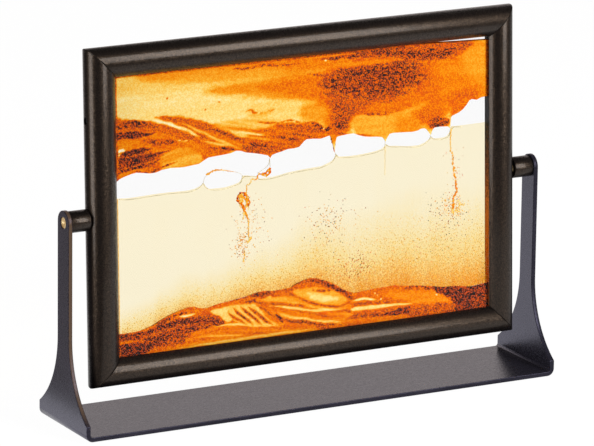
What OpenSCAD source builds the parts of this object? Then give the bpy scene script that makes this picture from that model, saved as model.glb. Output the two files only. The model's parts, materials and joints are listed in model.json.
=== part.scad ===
// Moving sand art frame: a glass cell of sand, liquid and air bubbles in a mitred round-bar frame,
// which turns end over end on two pins between the arms of a bent sheet stand.
// Millimetres. +X runs along the stand, -Y is the front, +Z is up, and the floor is at Z = 0.

/* [Picture] */
// Width of the picture that shows inside the frame
sight_width = 225; // [160:1:300]
// Height of the picture that shows inside the frame
sight_height = 150; // [110:1:200]
// Thickness of each sheet of glass
pane_thickness = 2; // [1.5:0.1:3]
// Space between the two sheets, filled with sand and liquid
cell_gap = 4; // [2.5:0.1:5]
// How far the glass reaches behind the edge of the frame
pane_cover = 6; // [4.5:0.1:7]
// How far the black spacer strips sit back from the edge of the frame
spacer_setback = 1; // [0.3:0.1:2]

/* [Frame] */
// Diameter of the round frame bars
bar_diameter = 16.8; // [16:0.1:20]
// Length of each leg of the keys that hold the mitred corners
key_leg = 16; // [10:1:25]
// Width of a key's leg, across the bar
key_width = 3.5; // [2.5:0.1:4]
// Thickness of the keys, front to back
key_thickness = 4; // [2.5:0.1:5]
// Distance from the groove for the glass to the key
key_wall = 2; // [1.5:0.1:3]
// Lean of the frame at rest, top away from the viewer, in degrees
frame_lean = 2.5; // [-10:0.5:10]

/* [Filling hole] */
// Diameter of the filling hole in the outer side of the left bar
port_diameter = 4; // [2:0.1:6]
// Distance of the filling hole below the top of the cell
port_drop = 23.5; // [8:0.5:40]
// How deep the plug sits below the surface of the bar
plug_recess = 1.5; // [0.5:0.1:3]

/* [Pivots] */
// Diameter of the brass pivot pins
pin_diameter = 6; // [4:0.1:7]
// Wall between the end of a pin and the groove for the glass
pin_wall = 1.6; // [1:0.1:4]
// How deep the end of a pin sits inside the arm's hole
pin_recess = 0.3; // [0.1:0.1:1]
// Diameter of the dimple in the end of a pin
dimple_diameter = 2.6; // [1:0.1:3.5]
// Depth of the dimple in the end of a pin
dimple_depth = 0.8; // [0.3:0.1:1.5]
// Diameter of the sleeves between the arms and the frame
bush_diameter = 11.6; // [9:0.1:13]
// Length of the sleeves between the arms and the frame
bush_length = 11.2; // [6:0.1:16]

/* [Stand] */
// Depth of the stand, front to back
stand_depth = 57; // [48:1:70]
// Thickness of the bent sheet
sheet_thickness = 2.5; // [2:0.1:4]
// Inside radius of the two bends
bend_radius = 1.5; // [1:0.1:4]
// Width of the upper part of each arm
arm_width = 13; // [12:0.1:18]
// Radius of the curve where an arm flares into the base
flare_radius = 50; // [36:1:80]
// Height above the base plate at which the flare reaches the full depth
flare_foot = 6; // [5:0.5:12]
// Clear height between the base plate and the upright frame
swing_gap = 18.8; // [8:0.1:40]

/* [Foot pads] */
// Diameter of the foot pads
pad_diameter = 12; // [8:0.5:16]
// Thickness of the foot pads
pad_thickness = 1; // [0.6:0.1:3]
// Distance from the edges of the base plate to the middle of a pad
pad_inset = 12; // [10:0.5:18]

/* [Sand and bubbles] */
// Depth of the flat part of the sand below, above the lower spacer
sand_floor = 11; // [6:0.5:16]
// Thickness of the falling trickles of sand, front to back
trickle_thickness = 2; // [1:0.1:2.4]
// Gap left between neighbouring bubbles
bubble_film = 0.8; // [0.4:0.1:2]

/* [Clearances] */
// Radial gap of the pins in the arms, which turn
running_gap = 0.08; // [0.02:0.01:0.1]
// Radial gap of the pins in the side bars and sleeves, and of the plug
press_gap = 0.02; // [0.01:0.01:0.05]
// Gap round the glass cell and round the corner keys
slide_gap = 0.1; // [0.05:0.05:0.3]
// Gap between each sleeve and its arm
end_play = 0.15; // [0.1:0.05:0.4]

/* [Hidden] */
$fn = 64;
overcut = 1;
charcoal = "#3a3a3e";
bronze_black = "#2b2624";
rubber_black = "#1c1c1c";
brass_yellow = "#d9b45a";
steel_grey = "#8c8f94";

// The cell, front to back and across
cell_half_depth = cell_gap / 2 + pane_thickness;
pane_width = sight_width + 2 * pane_cover;
pane_height = sight_height + 2 * pane_cover;
cavity_x = sight_width / 2 + spacer_setback;
cavity_z = sight_height / 2 + spacer_setback;
spacer_width = pane_cover - spacer_setback;

// The bars: their middle lines, seen from the pivot, and the groove for the cell
bar_radius = bar_diameter / 2;
groove_half = cell_half_depth + slide_gap;
groove_depth = pane_cover + slide_gap;
sight_to_middle = sqrt(bar_radius * bar_radius - groove_half * groove_half);
bar_x = sight_width / 2 + sight_to_middle;
bar_z = sight_height / 2 + sight_to_middle;
frame_half_width = bar_x + bar_radius;
frame_half_height = bar_z + bar_radius;
key_offset = groove_depth + key_wall + key_width / 2;

// The stand, built outwards and upwards from the frame that swings in it
base_bottom = pad_thickness;
base_top = base_bottom + sheet_thickness;
pivot_height = base_top + swing_gap + frame_half_height;
arm_inner_x = frame_half_width + bush_length + end_play;
arm_outer_x = arm_inner_x + sheet_thickness;
arm_top = pivot_height + arm_width / 2;
flare_bottom = base_top + flare_foot;
flare_reach = (stand_depth - arm_width) / 2;
flare_top = flare_bottom + sqrt(2 * flare_radius * flare_reach - flare_reach * flare_reach);
hole_radius = pin_diameter / 2 + running_gap;
pin_bore_radius = pin_diameter / 2 + press_gap;
pin_outer_x = arm_outer_x - pin_recess;
pin_inner_x = sight_width / 2 + groove_depth + pin_wall;
port_radius = port_diameter / 2;
port_height = cavity_z - port_drop;
// The plug's nose leaves a wall in the spacer strip that it passes through
port_wall = 0.5;
nose_radius = min(port_radius, cell_gap / 2 - port_wall);

// Row of bubbles from wall to wall. Each: share of the row, thickness, middle above the pivot,
// tilt in degrees, and how much thicker its right end is than its middle
BUBBLES = [
    [92, 13.5, 16.5, 4.5, 0.1],
    [38, 14, 20, 9, 0],
    [32, 10.5, 23.5, 0, 0],
    [27, 8.5, 24, 0, 0],
    [12, 7, 25, 2, 0],
    [24, 11, 33.5, 8, 0.4]
];
// Small bubble under the first one: middle from the first one's end, middle up, length, thickness
SMALL_BUBBLE = [-28, 12.5, 22, 8];
// Dunes below. Each: middle as a share of the half width, height above the flat part, spread
DUNES = [[-0.66, 10, 30], [-0.22, 11, 26], [0.07, 12, 16], [0.46, 3, 24], [1, 4, 30]];
// Trickles of falling sand. Each: the bubble that it falls past, and points across and up from
// that bubble's right end, with the half width there
TRICKLES = [
    [0, [[0, 1, 1.2], [-3, -7, 1], [-10, -11, 1.4], [-14, -15, 3], [-14.5, -19, 3.4], [-13.5, -23, 2.4],
        [-13, -29, 1.2], [-13.5, -39, 0.7]]],
    [4, [[0, 1, 1.2], [0.5, -6, 0.9], [2, -18, 1], [2, -28, 1.6], [3, -36, 1.8], [3.5, -46, 0.8]]]
];
bubble_points = 40;
bubble_boxiness = 2.8;
sand_steps = 60;

SIDES = ["left", "right"];
LEVELS = ["bottom", "top"];

// Sign of a side, level or depth by its name: -1 for left, bottom and front, +1 for right, top and rear
function side_sign(name) = (name == "left" || name == "bottom" || name == "front") ? -1 : 1;

// Places its children in the turning frame: the pivot is the origin
module on_pivot() {
    translate([0, 0, pivot_height]) rotate([-frame_lean, 0, 0]) children();
}

// Rod along X from one place to another
module rod_x(from, to, radius) {
    translate([from, 0, 0]) rotate([0, 90, 0]) cylinder(h = to - from, r = radius);
}

// Outline of the stand from the front: square top, round lower corners
module bend_outline(half, bottom, top, radius) {
    translate([-half, bottom + radius]) square([2 * half, top - bottom - radius]);
    translate([radius - half, bottom]) square([2 * (half - radius), radius]);
    for (side = [-1, 1]) translate([side * (half - radius), bottom + radius]) circle(radius);
}

// Sheet bent into a U, as deep as the base all the way up
module bent_sheet() {
    rotate([90, 0, 0]) linear_extrude(stand_depth, center = true) difference() {
        bend_outline(arm_outer_x, base_bottom, arm_top, bend_radius + sheet_thickness);
        bend_outline(arm_inner_x, base_top, arm_top + overcut, bend_radius);
    }
}

// Outline of an arm from the side: full depth at the base, curved flare, round end at the pivot
module arm_outline() {
    translate([-stand_depth / 2, base_bottom]) square([stand_depth, flare_bottom - base_bottom]);
    translate([-arm_width / 2, base_bottom]) square([arm_width, pivot_height - base_bottom]);
    translate([0, pivot_height]) circle(arm_width / 2);
    difference() {
        translate([-stand_depth / 2, flare_bottom]) square([stand_depth, flare_top - flare_bottom]);
        for (side = [-1, 1])
            translate([side * (arm_width / 2 + flare_radius), flare_top]) circle(flare_radius, $fn = 128);
    }
}

module stand_bracket() {
    color(charcoal) difference() {
        intersection() {
            bent_sheet();
            rotate([90, 0, 90]) linear_extrude(2 * arm_outer_x, center = true) arm_outline();
        }
        translate([0, 0, pivot_height]) rod_x(-arm_outer_x - overcut, arm_outer_x + overcut, hole_radius);
    }
}

module foot_pad(depth, side) {
    x = side_sign(side) * (arm_outer_x - pad_inset);
    y = side_sign(depth) * (stand_depth / 2 - pad_inset);
    color(rubber_black) translate([x, y, 0]) cylinder(h = pad_thickness, d = pad_diameter);
}

// Round bar along X at a height above the pivot, mitred at both ends and grooved on its inner side
module mitred_bar(middle_half, middle_height) {
    difference() {
        intersection() {
            translate([0, 0, middle_height])
                rod_x(-middle_half - bar_radius, middle_half + bar_radius, bar_radius);
            rotate([90, 0, 0]) linear_extrude(2 * bar_diameter, center = true) polygon([
                [bar_radius - middle_half, middle_height - bar_radius],
                [middle_half - bar_radius, middle_height - bar_radius],
                [middle_half + bar_radius, middle_height + bar_radius],
                [-middle_half - bar_radius, middle_height + bar_radius]
            ]);
        }
        translate([-middle_half - bar_radius, -groove_half, middle_height - bar_radius - overcut])
            cube([2 * (middle_half + bar_radius), 2 * groove_half,
                bar_radius + overcut - sight_to_middle + groove_depth]);
    }
}

// L key inside a mitred corner, or the hollow for it where grow is a gap
module key_shape(level, side, grow = 0) {
    x = side_sign(side) * (sight_width / 2 + key_offset);
    z = side_sign(level) * (sight_height / 2 + key_offset);
    half = key_width / 2 + grow;
    thick = key_thickness + 2 * grow;
    leg = key_leg + grow;
    flip_x = side_sign(side) > 0 ? 1 : 0;
    flip_z = side_sign(level) > 0 ? 1 : 0;
    translate([x, 0, z]) mirror([flip_x, 0, 0]) mirror([0, 0, flip_z]) {
        translate([-half, -thick / 2, -half]) cube([leg + half, thick, 2 * half]);
        translate([-half, -thick / 2, -half]) cube([2 * half, thick, leg + half]);
    }
}

module all_key_hollows() {
    for (level = LEVELS, side = SIDES) key_shape(level, side, slide_gap);
}

module rail(level) {
    color(bronze_black) on_pivot() difference() {
        mirror([0, 0, side_sign(level) < 0 ? 1 : 0]) mitred_bar(bar_x, bar_z);
        all_key_hollows();
    }
}

module stile(side) {
    color(bronze_black) on_pivot() difference() {
        rotate([0, side_sign(side) * 90, 0]) mitred_bar(bar_z, bar_x);
        all_key_hollows();
        mirror([side_sign(side) < 0 ? 1 : 0, 0, 0])
            rod_x(pin_inner_x - press_gap, frame_half_width + overcut, pin_bore_radius);
        if (side == "left")
            translate([0, 0, port_height]) rod_x(-frame_half_width - overcut, -sight_width / 2, port_radius);
    }
}

module corner_key(level, side) {
    color(steel_grey) on_pivot() key_shape(level, side);
}

module pane(depth) {
    color("white", 0.3) on_pivot()
        translate([0, side_sign(depth) * (cell_gap + pane_thickness) / 2, 0])
            cube([pane_width, pane_thickness, pane_height], center = true);
}

module spacer_across(level) {
    color(rubber_black) on_pivot()
        translate([0, 0, side_sign(level) * (cavity_z + spacer_width / 2)])
            cube([pane_width, cell_gap, spacer_width], center = true);
}

module spacer_upright(side) {
    color(rubber_black) on_pivot() difference() {
        translate([side_sign(side) * (cavity_x + spacer_width / 2), 0, 0])
            cube([spacer_width, cell_gap, 2 * cavity_z], center = true);
        if (side == "left")
            translate([0, 0, port_height])
                rod_x(-cavity_x - spacer_width - overcut, overcut - cavity_x, nose_radius);
    }
}

module filler_plug() {
    color(rubber_black) on_pivot() translate([0, 0, port_height]) {
        rod_x(plug_recess - frame_half_width, -pane_width / 2, port_radius - press_gap);
        rod_x(-pane_width / 2 - overcut, -cavity_x, nose_radius - press_gap);
    }
}

// Sign of a number, and a power that keeps it
function keep_sign(value, power) = sign(value) * pow(abs(value), power);

// Pillow-shaped outline, rounder ends than a rectangle and flatter sides than an ellipse
function pillow(length, thickness, taper = 0) = [
    for (i = [0 : bubble_points - 1])
        let (turn = 360 * i / bubble_points)
        let (along = keep_sign(cos(turn), 2 / bubble_boxiness))
        let (across = keep_sign(sin(turn), 2 / bubble_boxiness))
        [length / 2 * along, thickness / 2 * across * (1 + taper * along)]
];

// Sum of the first few shares of the row of bubbles, and places along the row
function share_before(count) = count == 0 ? 0 : BUBBLES[count - 1][0] + share_before(count - 1);
function row_x(share) = cavity_x * (2 * share / share_before(len(BUBBLES)) - 1);
function bubble_middle(i) = row_x(share_before(i) + BUBBLES[i][0] / 2);
function bubble_end(i) = row_x(share_before(i + 1));
function bubble_length(i) = bubble_end(i) - row_x(share_before(i)) - bubble_film;

// Height of the underside of the upper sand, through the middles of the bubbles
ROW_LINE = [for (i = [0 : len(BUBBLES) - 1]) [bubble_middle(i), BUBBLES[i][2]]];
function row_line(x) = lookup(x, ROW_LINE);

// Height of the surface of the dunes
function dune(x, d) = d[1] * exp(-pow((x - d[0] * cavity_x) / d[2], 2));
function dune_sum(x, count) = count == 0 ? 0 : dune(x, DUNES[count - 1]) + dune_sum(x, count - 1);
function dune_line(x) = sand_floor - cavity_z + dune_sum(x, len(DUNES));

STEPS_X = [for (i = [0 : sand_steps]) cavity_x * (2 * i / sand_steps - 1)];

module cavity_outline() {
    square([2 * cavity_x, 2 * cavity_z], center = true);
}

module small_bubble_outline(grow = 0) {
    translate([bubble_end(0) + SMALL_BUBBLE[0], SMALL_BUBBLE[1]])
        polygon(pillow(SMALL_BUBBLE[2] + 2 * grow, SMALL_BUBBLE[3] + 2 * grow));
}

module bubble_row_outline() {
    for (i = [0 : len(BUBBLES) - 1])
        translate([bubble_middle(i), BUBBLES[i][2]]) rotate(BUBBLES[i][3])
            polygon(pillow(bubble_length(i), BUBBLES[i][1], BUBBLES[i][4]));
}

// All the air, with a film of liquid round the small bubble
module bubbles_outline() {
    difference() {
        bubble_row_outline();
        small_bubble_outline(bubble_film);
    }
    small_bubble_outline();
}

module upper_sand_outline() {
    difference() {
        polygon(concat([for (x = STEPS_X) [x, row_line(x)]], [[cavity_x, cavity_z], [-cavity_x, cavity_z]]));
        bubble_row_outline();
        small_bubble_outline(bubble_film);
    }
}

module lower_sand_outline() {
    polygon(concat([for (x = STEPS_X) [x, dune_line(x)]], [[cavity_x, -cavity_z], [-cavity_x, -cavity_z]]));
}

module trickle_outline(trickle) {
    mouth = bubble_end(trickle[0]);
    points = trickle[1];
    last = len(points) - 1;
    translate([mouth, row_line(mouth)]) polygon(concat(
        [for (p = points) [p[0] - p[2], p[1]]],
        [for (i = [last : -1 : 0]) [points[i][0] + points[i][2], points[i][1]]]
    ));
}

// Upright slab of the cell from its outline
module in_cell(thickness) {
    on_pivot() rotate([90, 0, 0]) linear_extrude(thickness, center = true) children();
}

module falling_sand() {
    color("#c8641c") in_cell(trickle_thickness) difference() {
        intersection() {
            for (trickle = TRICKLES) trickle_outline(trickle);
            cavity_outline();
        }
        upper_sand_outline();
        bubbles_outline();
        lower_sand_outline();
    }
}

module upper_sand() {
    color("#e08a20") in_cell(cell_gap) intersection() {
        upper_sand_outline();
        cavity_outline();
    }
}

module lower_sand() {
    color("#b84e14") in_cell(cell_gap) lower_sand_outline();
}

module liquid() {
    color("#faefd0", 0.4) difference() {
        in_cell(cell_gap) difference() {
            cavity_outline();
            upper_sand_outline();
            bubbles_outline();
            lower_sand_outline();
        }
        falling_sand();
    }
}

module bush(side) {
    color(bronze_black) on_pivot() mirror([side_sign(side) < 0 ? 1 : 0, 0, 0]) difference() {
        rod_x(frame_half_width, frame_half_width + bush_length, bush_diameter / 2);
        rod_x(frame_half_width - overcut, frame_half_width + bush_length + overcut, pin_bore_radius);
    }
}

module pivot_pin(side) {
    color(brass_yellow) on_pivot() mirror([side_sign(side) < 0 ? 1 : 0, 0, 0]) difference() {
        rod_x(pin_inner_x, pin_outer_x, pin_diameter / 2);
        rod_x(pin_outer_x - dimple_depth, pin_outer_x + overcut, dimple_diameter / 2);
    }
}

stand_bracket();
foot_pad("front", "left");  // foot_pad_front_left
foot_pad("front", "right");  // foot_pad_front_right
foot_pad("rear", "left");  // foot_pad_rear_left
foot_pad("rear", "right");  // foot_pad_rear_right
rail("top");  // top_rail
rail("bottom");  // bottom_rail
stile("left");  // left_stile
stile("right");  // right_stile
corner_key("top", "left");  // corner_key_top_left
corner_key("top", "right");  // corner_key_top_right
corner_key("bottom", "left");  // corner_key_bottom_left
corner_key("bottom", "right");  // corner_key_bottom_right
pane("front");  // front_pane
pane("rear");  // rear_pane
spacer_across("top");  // spacer_top
spacer_across("bottom");  // spacer_bottom
spacer_upright("left");  // spacer_left
spacer_upright("right");  // spacer_right
filler_plug();
liquid();
upper_sand();
lower_sand();
falling_sand();
bush("left");  // left_bush
bush("right");  // right_bush
pivot_pin("left");  // left_pivot_pin
pivot_pin("right");  // right_pivot_pin
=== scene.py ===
"""A moving sand art frame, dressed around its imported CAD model.

A flat glass cell of dyed sand, liquid and air bubbles sits in a frame of round bars. The frame
turns over on two brass pins between the arms of a stand that is bent from sheet steel.
Lengths are in millimetres while a piece is modelled, and in metres once it is finished.
"""

import json
import logging
import math
from collections.abc import Callable, Iterable, Sequence
from dataclasses import dataclass
from enum import Enum
from functools import partial

import bmesh
import bpy
import numpy as np
from bmesh.types import BMesh, BMFace, BMVert
from bpy.types import ID, Material, Mesh, MeshPolygon, Node, NodeSocket, NodeTree, Object
from mathutils import Matrix, Vector


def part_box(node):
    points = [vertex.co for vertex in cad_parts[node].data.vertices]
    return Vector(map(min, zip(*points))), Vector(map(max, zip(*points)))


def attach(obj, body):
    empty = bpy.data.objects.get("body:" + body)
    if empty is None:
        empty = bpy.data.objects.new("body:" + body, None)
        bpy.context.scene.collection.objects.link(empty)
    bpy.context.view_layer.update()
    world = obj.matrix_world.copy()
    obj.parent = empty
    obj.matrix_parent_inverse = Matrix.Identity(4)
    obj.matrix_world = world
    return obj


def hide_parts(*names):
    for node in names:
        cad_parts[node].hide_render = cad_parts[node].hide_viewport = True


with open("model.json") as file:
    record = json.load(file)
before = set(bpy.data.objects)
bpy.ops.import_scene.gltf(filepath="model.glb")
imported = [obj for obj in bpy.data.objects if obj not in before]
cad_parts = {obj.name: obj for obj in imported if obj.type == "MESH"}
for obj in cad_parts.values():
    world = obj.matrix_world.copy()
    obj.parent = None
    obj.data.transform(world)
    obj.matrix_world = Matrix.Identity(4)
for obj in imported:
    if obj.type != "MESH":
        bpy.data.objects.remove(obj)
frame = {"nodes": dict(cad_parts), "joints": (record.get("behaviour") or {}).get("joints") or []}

log = logging.getLogger("sand_frame")

MM = 0.001
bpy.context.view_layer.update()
PIVOT = Vector(frame["joints"][0]["pos_m"])

# Distance in millimetres below which two points count as one
NEAR = 1e-3
# Angles between two faces from which their edge is shaded sharp, and from which a sheet's edge is rounded
SHARP_ANGLE = math.radians(35.0)
CORNER_ANGLE = math.radians(50.0)
# Least part of a normal along an axis for a face that counts as square to it
SQUARE = 0.9999
# Distance in millimetres from a bar's round surface within which an edge counts as on it
ON_BAR = 0.1
# Faces round a hole or a pad
HOLE_STEPS = 40
# Share of a rounded edge's size by which its middle lies in from the corner
ROUNDING = 0.3
# Point attribute that holds the tone of the sand or the haze of the liquid
TONE = "tone"
# Light of the white that the camera sees behind the object
WHITE = 1.05

Array = np.ndarray
Heights = Callable[[Array], Array]
Adder = Callable[..., Node]
Point = tuple[float, float]
Line = tuple[Point, ...]


# Strata of the sand picture, in millimetres across and above the pivot


def fade(values: Array, low: float, high: float) -> Array:
    """Ramps smoothly from 0 to 1.

    Args:
        values: Numbers to ramp.
        low: Where the ramp is 0.
        high: Where the ramp is 1.

    Returns:
        Ramped numbers from 0 to 1.
    """
    share = np.clip((values - low) / (high - low), 0.0, 1.0)
    return share * share * (3.0 - 2.0 * share)


def blobs(x: Array, z: Array, size: Point, seed: int) -> Array:
    """Makes smooth seeded noise.

    Args:
        x: Places across.
        z: Places up.
        size: Width and height of a blob.
        seed: Seed of the noise.

    Returns:
        Noise from -1 to 1.
    """
    count = 256
    lattice = np.random.default_rng(seed).uniform(-1.0, 1.0, (count, count))
    across = x / size[0] + count
    up = z / size[1] + count
    column = np.floor(across).astype(int)
    row = np.floor(up).astype(int)
    side = fade(across - column, 0.0, 1.0)
    rise = fade(up - row, 0.0, 1.0)
    left = lattice[column % count, row % count]
    right = lattice[(column + 1) % count, row % count]
    left_above = lattice[column % count, (row + 1) % count]
    right_above = lattice[(column + 1) % count, (row + 1) % count]
    lower = left + (right - left) * side
    upper = left_above + (right_above - left_above) * side
    return lower + (upper - lower) * rise


def curve_through(points: Sequence[Point], closed: bool = False, steps: int = 5) -> Array:
    """Draws a smooth curve through a few points.

    Args:
        points: Points that the curve passes.
        closed: Whether the curve returns to its start.
        steps: Steps between two points.

    Returns:
        Points along the curve, one per row.
    """
    given = np.array(points, float)
    if closed:
        posts = np.vstack([given[-1:], given, given[:2]])
    else:
        posts = np.vstack([2 * given[0] - given[1], given, 2 * given[-1] - given[-2]])
    t = np.linspace(0.0, 1.0, steps, endpoint=False)[:, None]
    parts = []
    for a, b, c, d in zip(posts, posts[1:], posts[2:], posts[3:]):
        slope = c - a
        bend = 2 * a - 5 * b + 4 * c - d
        twist = 3 * b - a - 3 * c + d
        parts.append(b + 0.5 * (slope * t + bend * t**2 + twist * t**3))
    parts.append(posts[-2:-1])
    return np.vstack(parts)


def nearest(line: Array, x: Array, z: Array) -> tuple[Array, Array]:
    """Finds how far places are from a line.

    Args:
        line: Points along the line, one per row.
        x: Places across.
        z: Places up.

    Returns:
        Distance to the line, and the share of the line passed at its nearest point.
    """
    spans = np.hypot(*np.diff(line, axis=0).T)
    passed = np.concatenate([[0.0], np.cumsum(spans)])
    distance = np.full(x.shape, np.inf)
    share = np.zeros(x.shape)
    for i, span in enumerate(spans):
        if span == 0.0:
            continue
        along = (line[i + 1] - line[i]) / span
        t = np.clip((x - line[i, 0]) * along[0] + (z - line[i, 1]) * along[1], 0.0, span)
        gap = np.hypot(x - line[i, 0] - t * along[0], z - line[i, 1] - t * along[1])
        closer = gap < distance
        distance = np.where(closer, gap, distance)
        share = np.where(closer, (passed[i] + t) / passed[-1], share)
    return distance, share


def inside(outline: Array, x: Array, z: Array) -> Array:
    """Tells which places lie inside an outline.

    Args:
        outline: Points round the outline, one per row, the first one again at the end.
        x: Places across.
        z: Places up.

    Returns:
        True where a place is inside.
    """
    within = np.zeros(x.shape, bool)
    for (ax, az), (bx, bz) in zip(outline, outline[1:]):
        if az == bz:
            continue
        crosses = (az > z) != (bz > z)
        within ^= crosses & (x < ax + (bx - ax) * (z - az) / (bz - az))
    return within


def close_to(points: Line, margin: float, x: Array, z: Array) -> Array:
    """Tells which places lie in the box round some points.

    Args:
        points: The points.
        margin: How far the box is widened.
        x: Places across.
        z: Places up.

    Returns:
        True where a place is in the box.
    """
    low = np.min(points, axis=0) - margin
    high = np.max(points, axis=0) + margin
    return (x > low[0]) & (x < high[0]) & (z > low[1]) & (z < high[1])


def height_on(line: Line, x: Array) -> Array:
    """Gives the heights of a line that runs across the cell at places across."""
    points = np.array(line)
    return np.interp(x, points[:, 0], points[:, 1])


def height_round(line: Line, x: Array, reach: float, pick: Callable[..., Array]) -> Array:
    """Gives the highest or lowest heights of a line round places across.

    Args:
        line: Line that runs across the cell.
        x: Places across.
        reach: How far to either side the line counts.
        pick: np.max for the highest, np.min for the lowest.

    Returns:
        The heights.
    """
    return pick([height_on(line, x + shift) for shift in np.linspace(-reach, reach, 9)], axis=0)


# Share of a seam's thickness that its tips keep, and a share of its length that counts as none
TIP = 0.1
NO_LENGTH = 1e-6
# Width and height of the gaps in a broken seam, and of the bays in a patch's ragged edge
GAP_SIZE: Point = (1.6, 1.0)
BAY_SIZE: Point = (2.4, 1.1)
# Added to a seed for a second noise beside the first
OTHER_SEED = 500


@dataclass(frozen=True)
class Layer:
    """Sand that was laid down at one time.

    Attributes:
        tone: Tone of its sand, from 0 for cream to 1 for black.
    """

    tone: float

    def tones(self, x: Array, z: Array, seed: int) -> Array:
        """Gives the tone at places across and up, which is the same all over."""
        return np.full(x.shape, self.tone)


@dataclass(frozen=True)
class Seam(Layer):
    """A thin layer of sand that follows a line.

    Attributes:
        line: Points that the layer passes.
        thick: Its thickness.
        soft: Width of its faded edges.
        strength: Share of its own tone that shows.
        gaps: How far it is broken up, from 0 to 1.
        ends: Shares of its length over which its start and its end taper.
    """

    line: Line
    thick: float = 1.0
    soft: float = 0.8
    strength: float = 1.0
    gaps: float = 0.0
    ends: Point = (0.25, 0.25)

    def near(self, x: Array, z: Array) -> Array:
        """Tells which places the layer can reach."""
        return close_to(self.line, self.thick + self.soft + 2.0, x, z)

    def cover(self, x: Array, z: Array, seed: int) -> Array:
        """Tells how much of each place the layer covers.

        Args:
            x: Places across.
            z: Places up.
            seed: Seed of its gaps.

        Returns:
            Cover from 0 to 1.
        """
        distance, share = nearest(curve_through(self.line), x, z)
        start = np.clip(share / (self.ends[0] + NO_LENGTH), TIP, 1.0)
        end = np.clip((1.0 - share) / (self.ends[1] + NO_LENGTH), TIP, 1.0)
        reach = 0.5 * self.thick * np.minimum(start, end) + 0.5 * self.soft
        cover = 1.0 - fade(distance, reach - self.soft, reach)
        if self.gaps > 0.0:
            cover = cover * fade(blobs(x, z, GAP_SIZE, seed), self.gaps - 1.0, self.gaps - 0.5)
        return self.strength * cover


@dataclass(frozen=True)
class Patch(Layer):
    """A patch of sand of one tone.

    Attributes:
        outline: Points round the patch.
        soft: Width of its faded edge.
        strength: Share of its own tone that shows.
        ragged: How far its edge strays.
    """

    outline: Line
    soft: float = 3.0
    strength: float = 1.0
    ragged: float = 0.6

    def near(self, x: Array, z: Array) -> Array:
        """Tells which places the patch can reach."""
        return close_to(self.outline, self.soft + self.ragged + 3.0, x, z)

    def cover(self, x: Array, z: Array, seed: int) -> Array:
        """Tells how much of each place the patch covers.

        Args:
            x: Places across.
            z: Places up.
            seed: Seed of its ragged edge.

        Returns:
            Cover from 0 to 1.
        """
        outline = curve_through(self.outline, closed=True)
        distance, _ = nearest(outline, x, z)
        depth = np.where(inside(outline, x, z), distance, -distance)
        depth = depth + self.ragged * blobs(x, z, BAY_SIZE, seed)
        return self.strength * fade(depth, -0.5 * self.soft, 0.5 * self.soft)


@dataclass(frozen=True)
class Beds(Patch):
    """A patch of many fine layers that run beside a guide line.

    Attributes:
        guide: Points of the guide line, from left to right.
        dark: Tone of its darkest layers; the tone itself is that of its lightest ones.
        spacing: Mean thickness of a layer.
        length: Length over which a layer changes.
        finer: Length and thickness of its finer layers, against those of the main ones.
        weights: How far the main and the finer layers change the tone.
    """

    guide: Line = ((-113.5, 0.0), (113.5, 0.0))
    dark: float = 0.7
    spacing: float = 1.3
    length: float = 45.0
    finer: Point = (0.6, 0.5)
    weights: Point = (0.6, 0.35)

    def tones(self, x: Array, z: Array, seed: int) -> Array:
        """Gives the tone at places across and up.

        Args:
            x: Places across.
            z: Places up.
            seed: Seed of the layers.

        Returns:
            Tone from that of the lightest to that of the darkest layers.
        """
        height = z - height_on(self.guide, x)
        finer = (self.finer[0] * self.length, self.finer[1] * self.spacing)
        wide = blobs(x, height, (self.length, self.spacing), seed)
        fine = blobs(x, height, finer, seed + OTHER_SEED)
        share = np.clip(0.5 + self.weights[0] * wide + self.weights[1] * fine, 0.0, 1.0)
        return self.tone + (self.dark - self.tone) * share


@dataclass(frozen=True)
class Strata:
    """Sand laid down in layers.

    Attributes:
        ground: Tone under all the layers.
        layers: Patches, beds and seams, in the order in which they cover each other.
        shade: How much darker all of it lies than its layers say.
        streaks: Size of the fine streaks, across and up.
        streak_depth: How far the streaks change the tone.
        stray: How far the layers stray across and up.
        stray_across: Width and height over which they stray across.
        stray_up: Width and height over which they stray up.
    """

    ground: float
    layers: tuple[Patch | Seam, ...]
    shade: float = 0.0
    streaks: Point = (22.0, 1.6)
    streak_depth: float = 0.03
    stray: Point = (0.6, 0.3)
    stray_across: Point = (5.0, 4.0)
    stray_up: Point = (4.0, 3.0)

    def tone(self, x: Array, z: Array) -> Array:
        """Gives the tone of the sand.

        Args:
            x: Places across.
            z: Places up.

        Returns:
            Tone from 0 for cream to 1 for black.
        """
        strayed_x = x + self.stray[0] * blobs(x, z, self.stray_across, 1)
        strayed_z = z + self.stray[1] * blobs(x, z, self.stray_up, 2)
        tone = np.full(x.shape, self.ground)
        for seed, layer in enumerate(self.layers, start=10):
            near = layer.near(strayed_x, strayed_z)
            near_x, near_z = strayed_x[near], strayed_z[near]
            change = layer.tones(near_x, near_z, seed) - tone[near]
            tone[near] += change * layer.cover(near_x, near_z, seed)
        tone = tone + self.shade + self.streak_depth * blobs(strayed_x, strayed_z, self.streaks, 3)
        return np.clip(tone, 0.0, 1.0)


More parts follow.
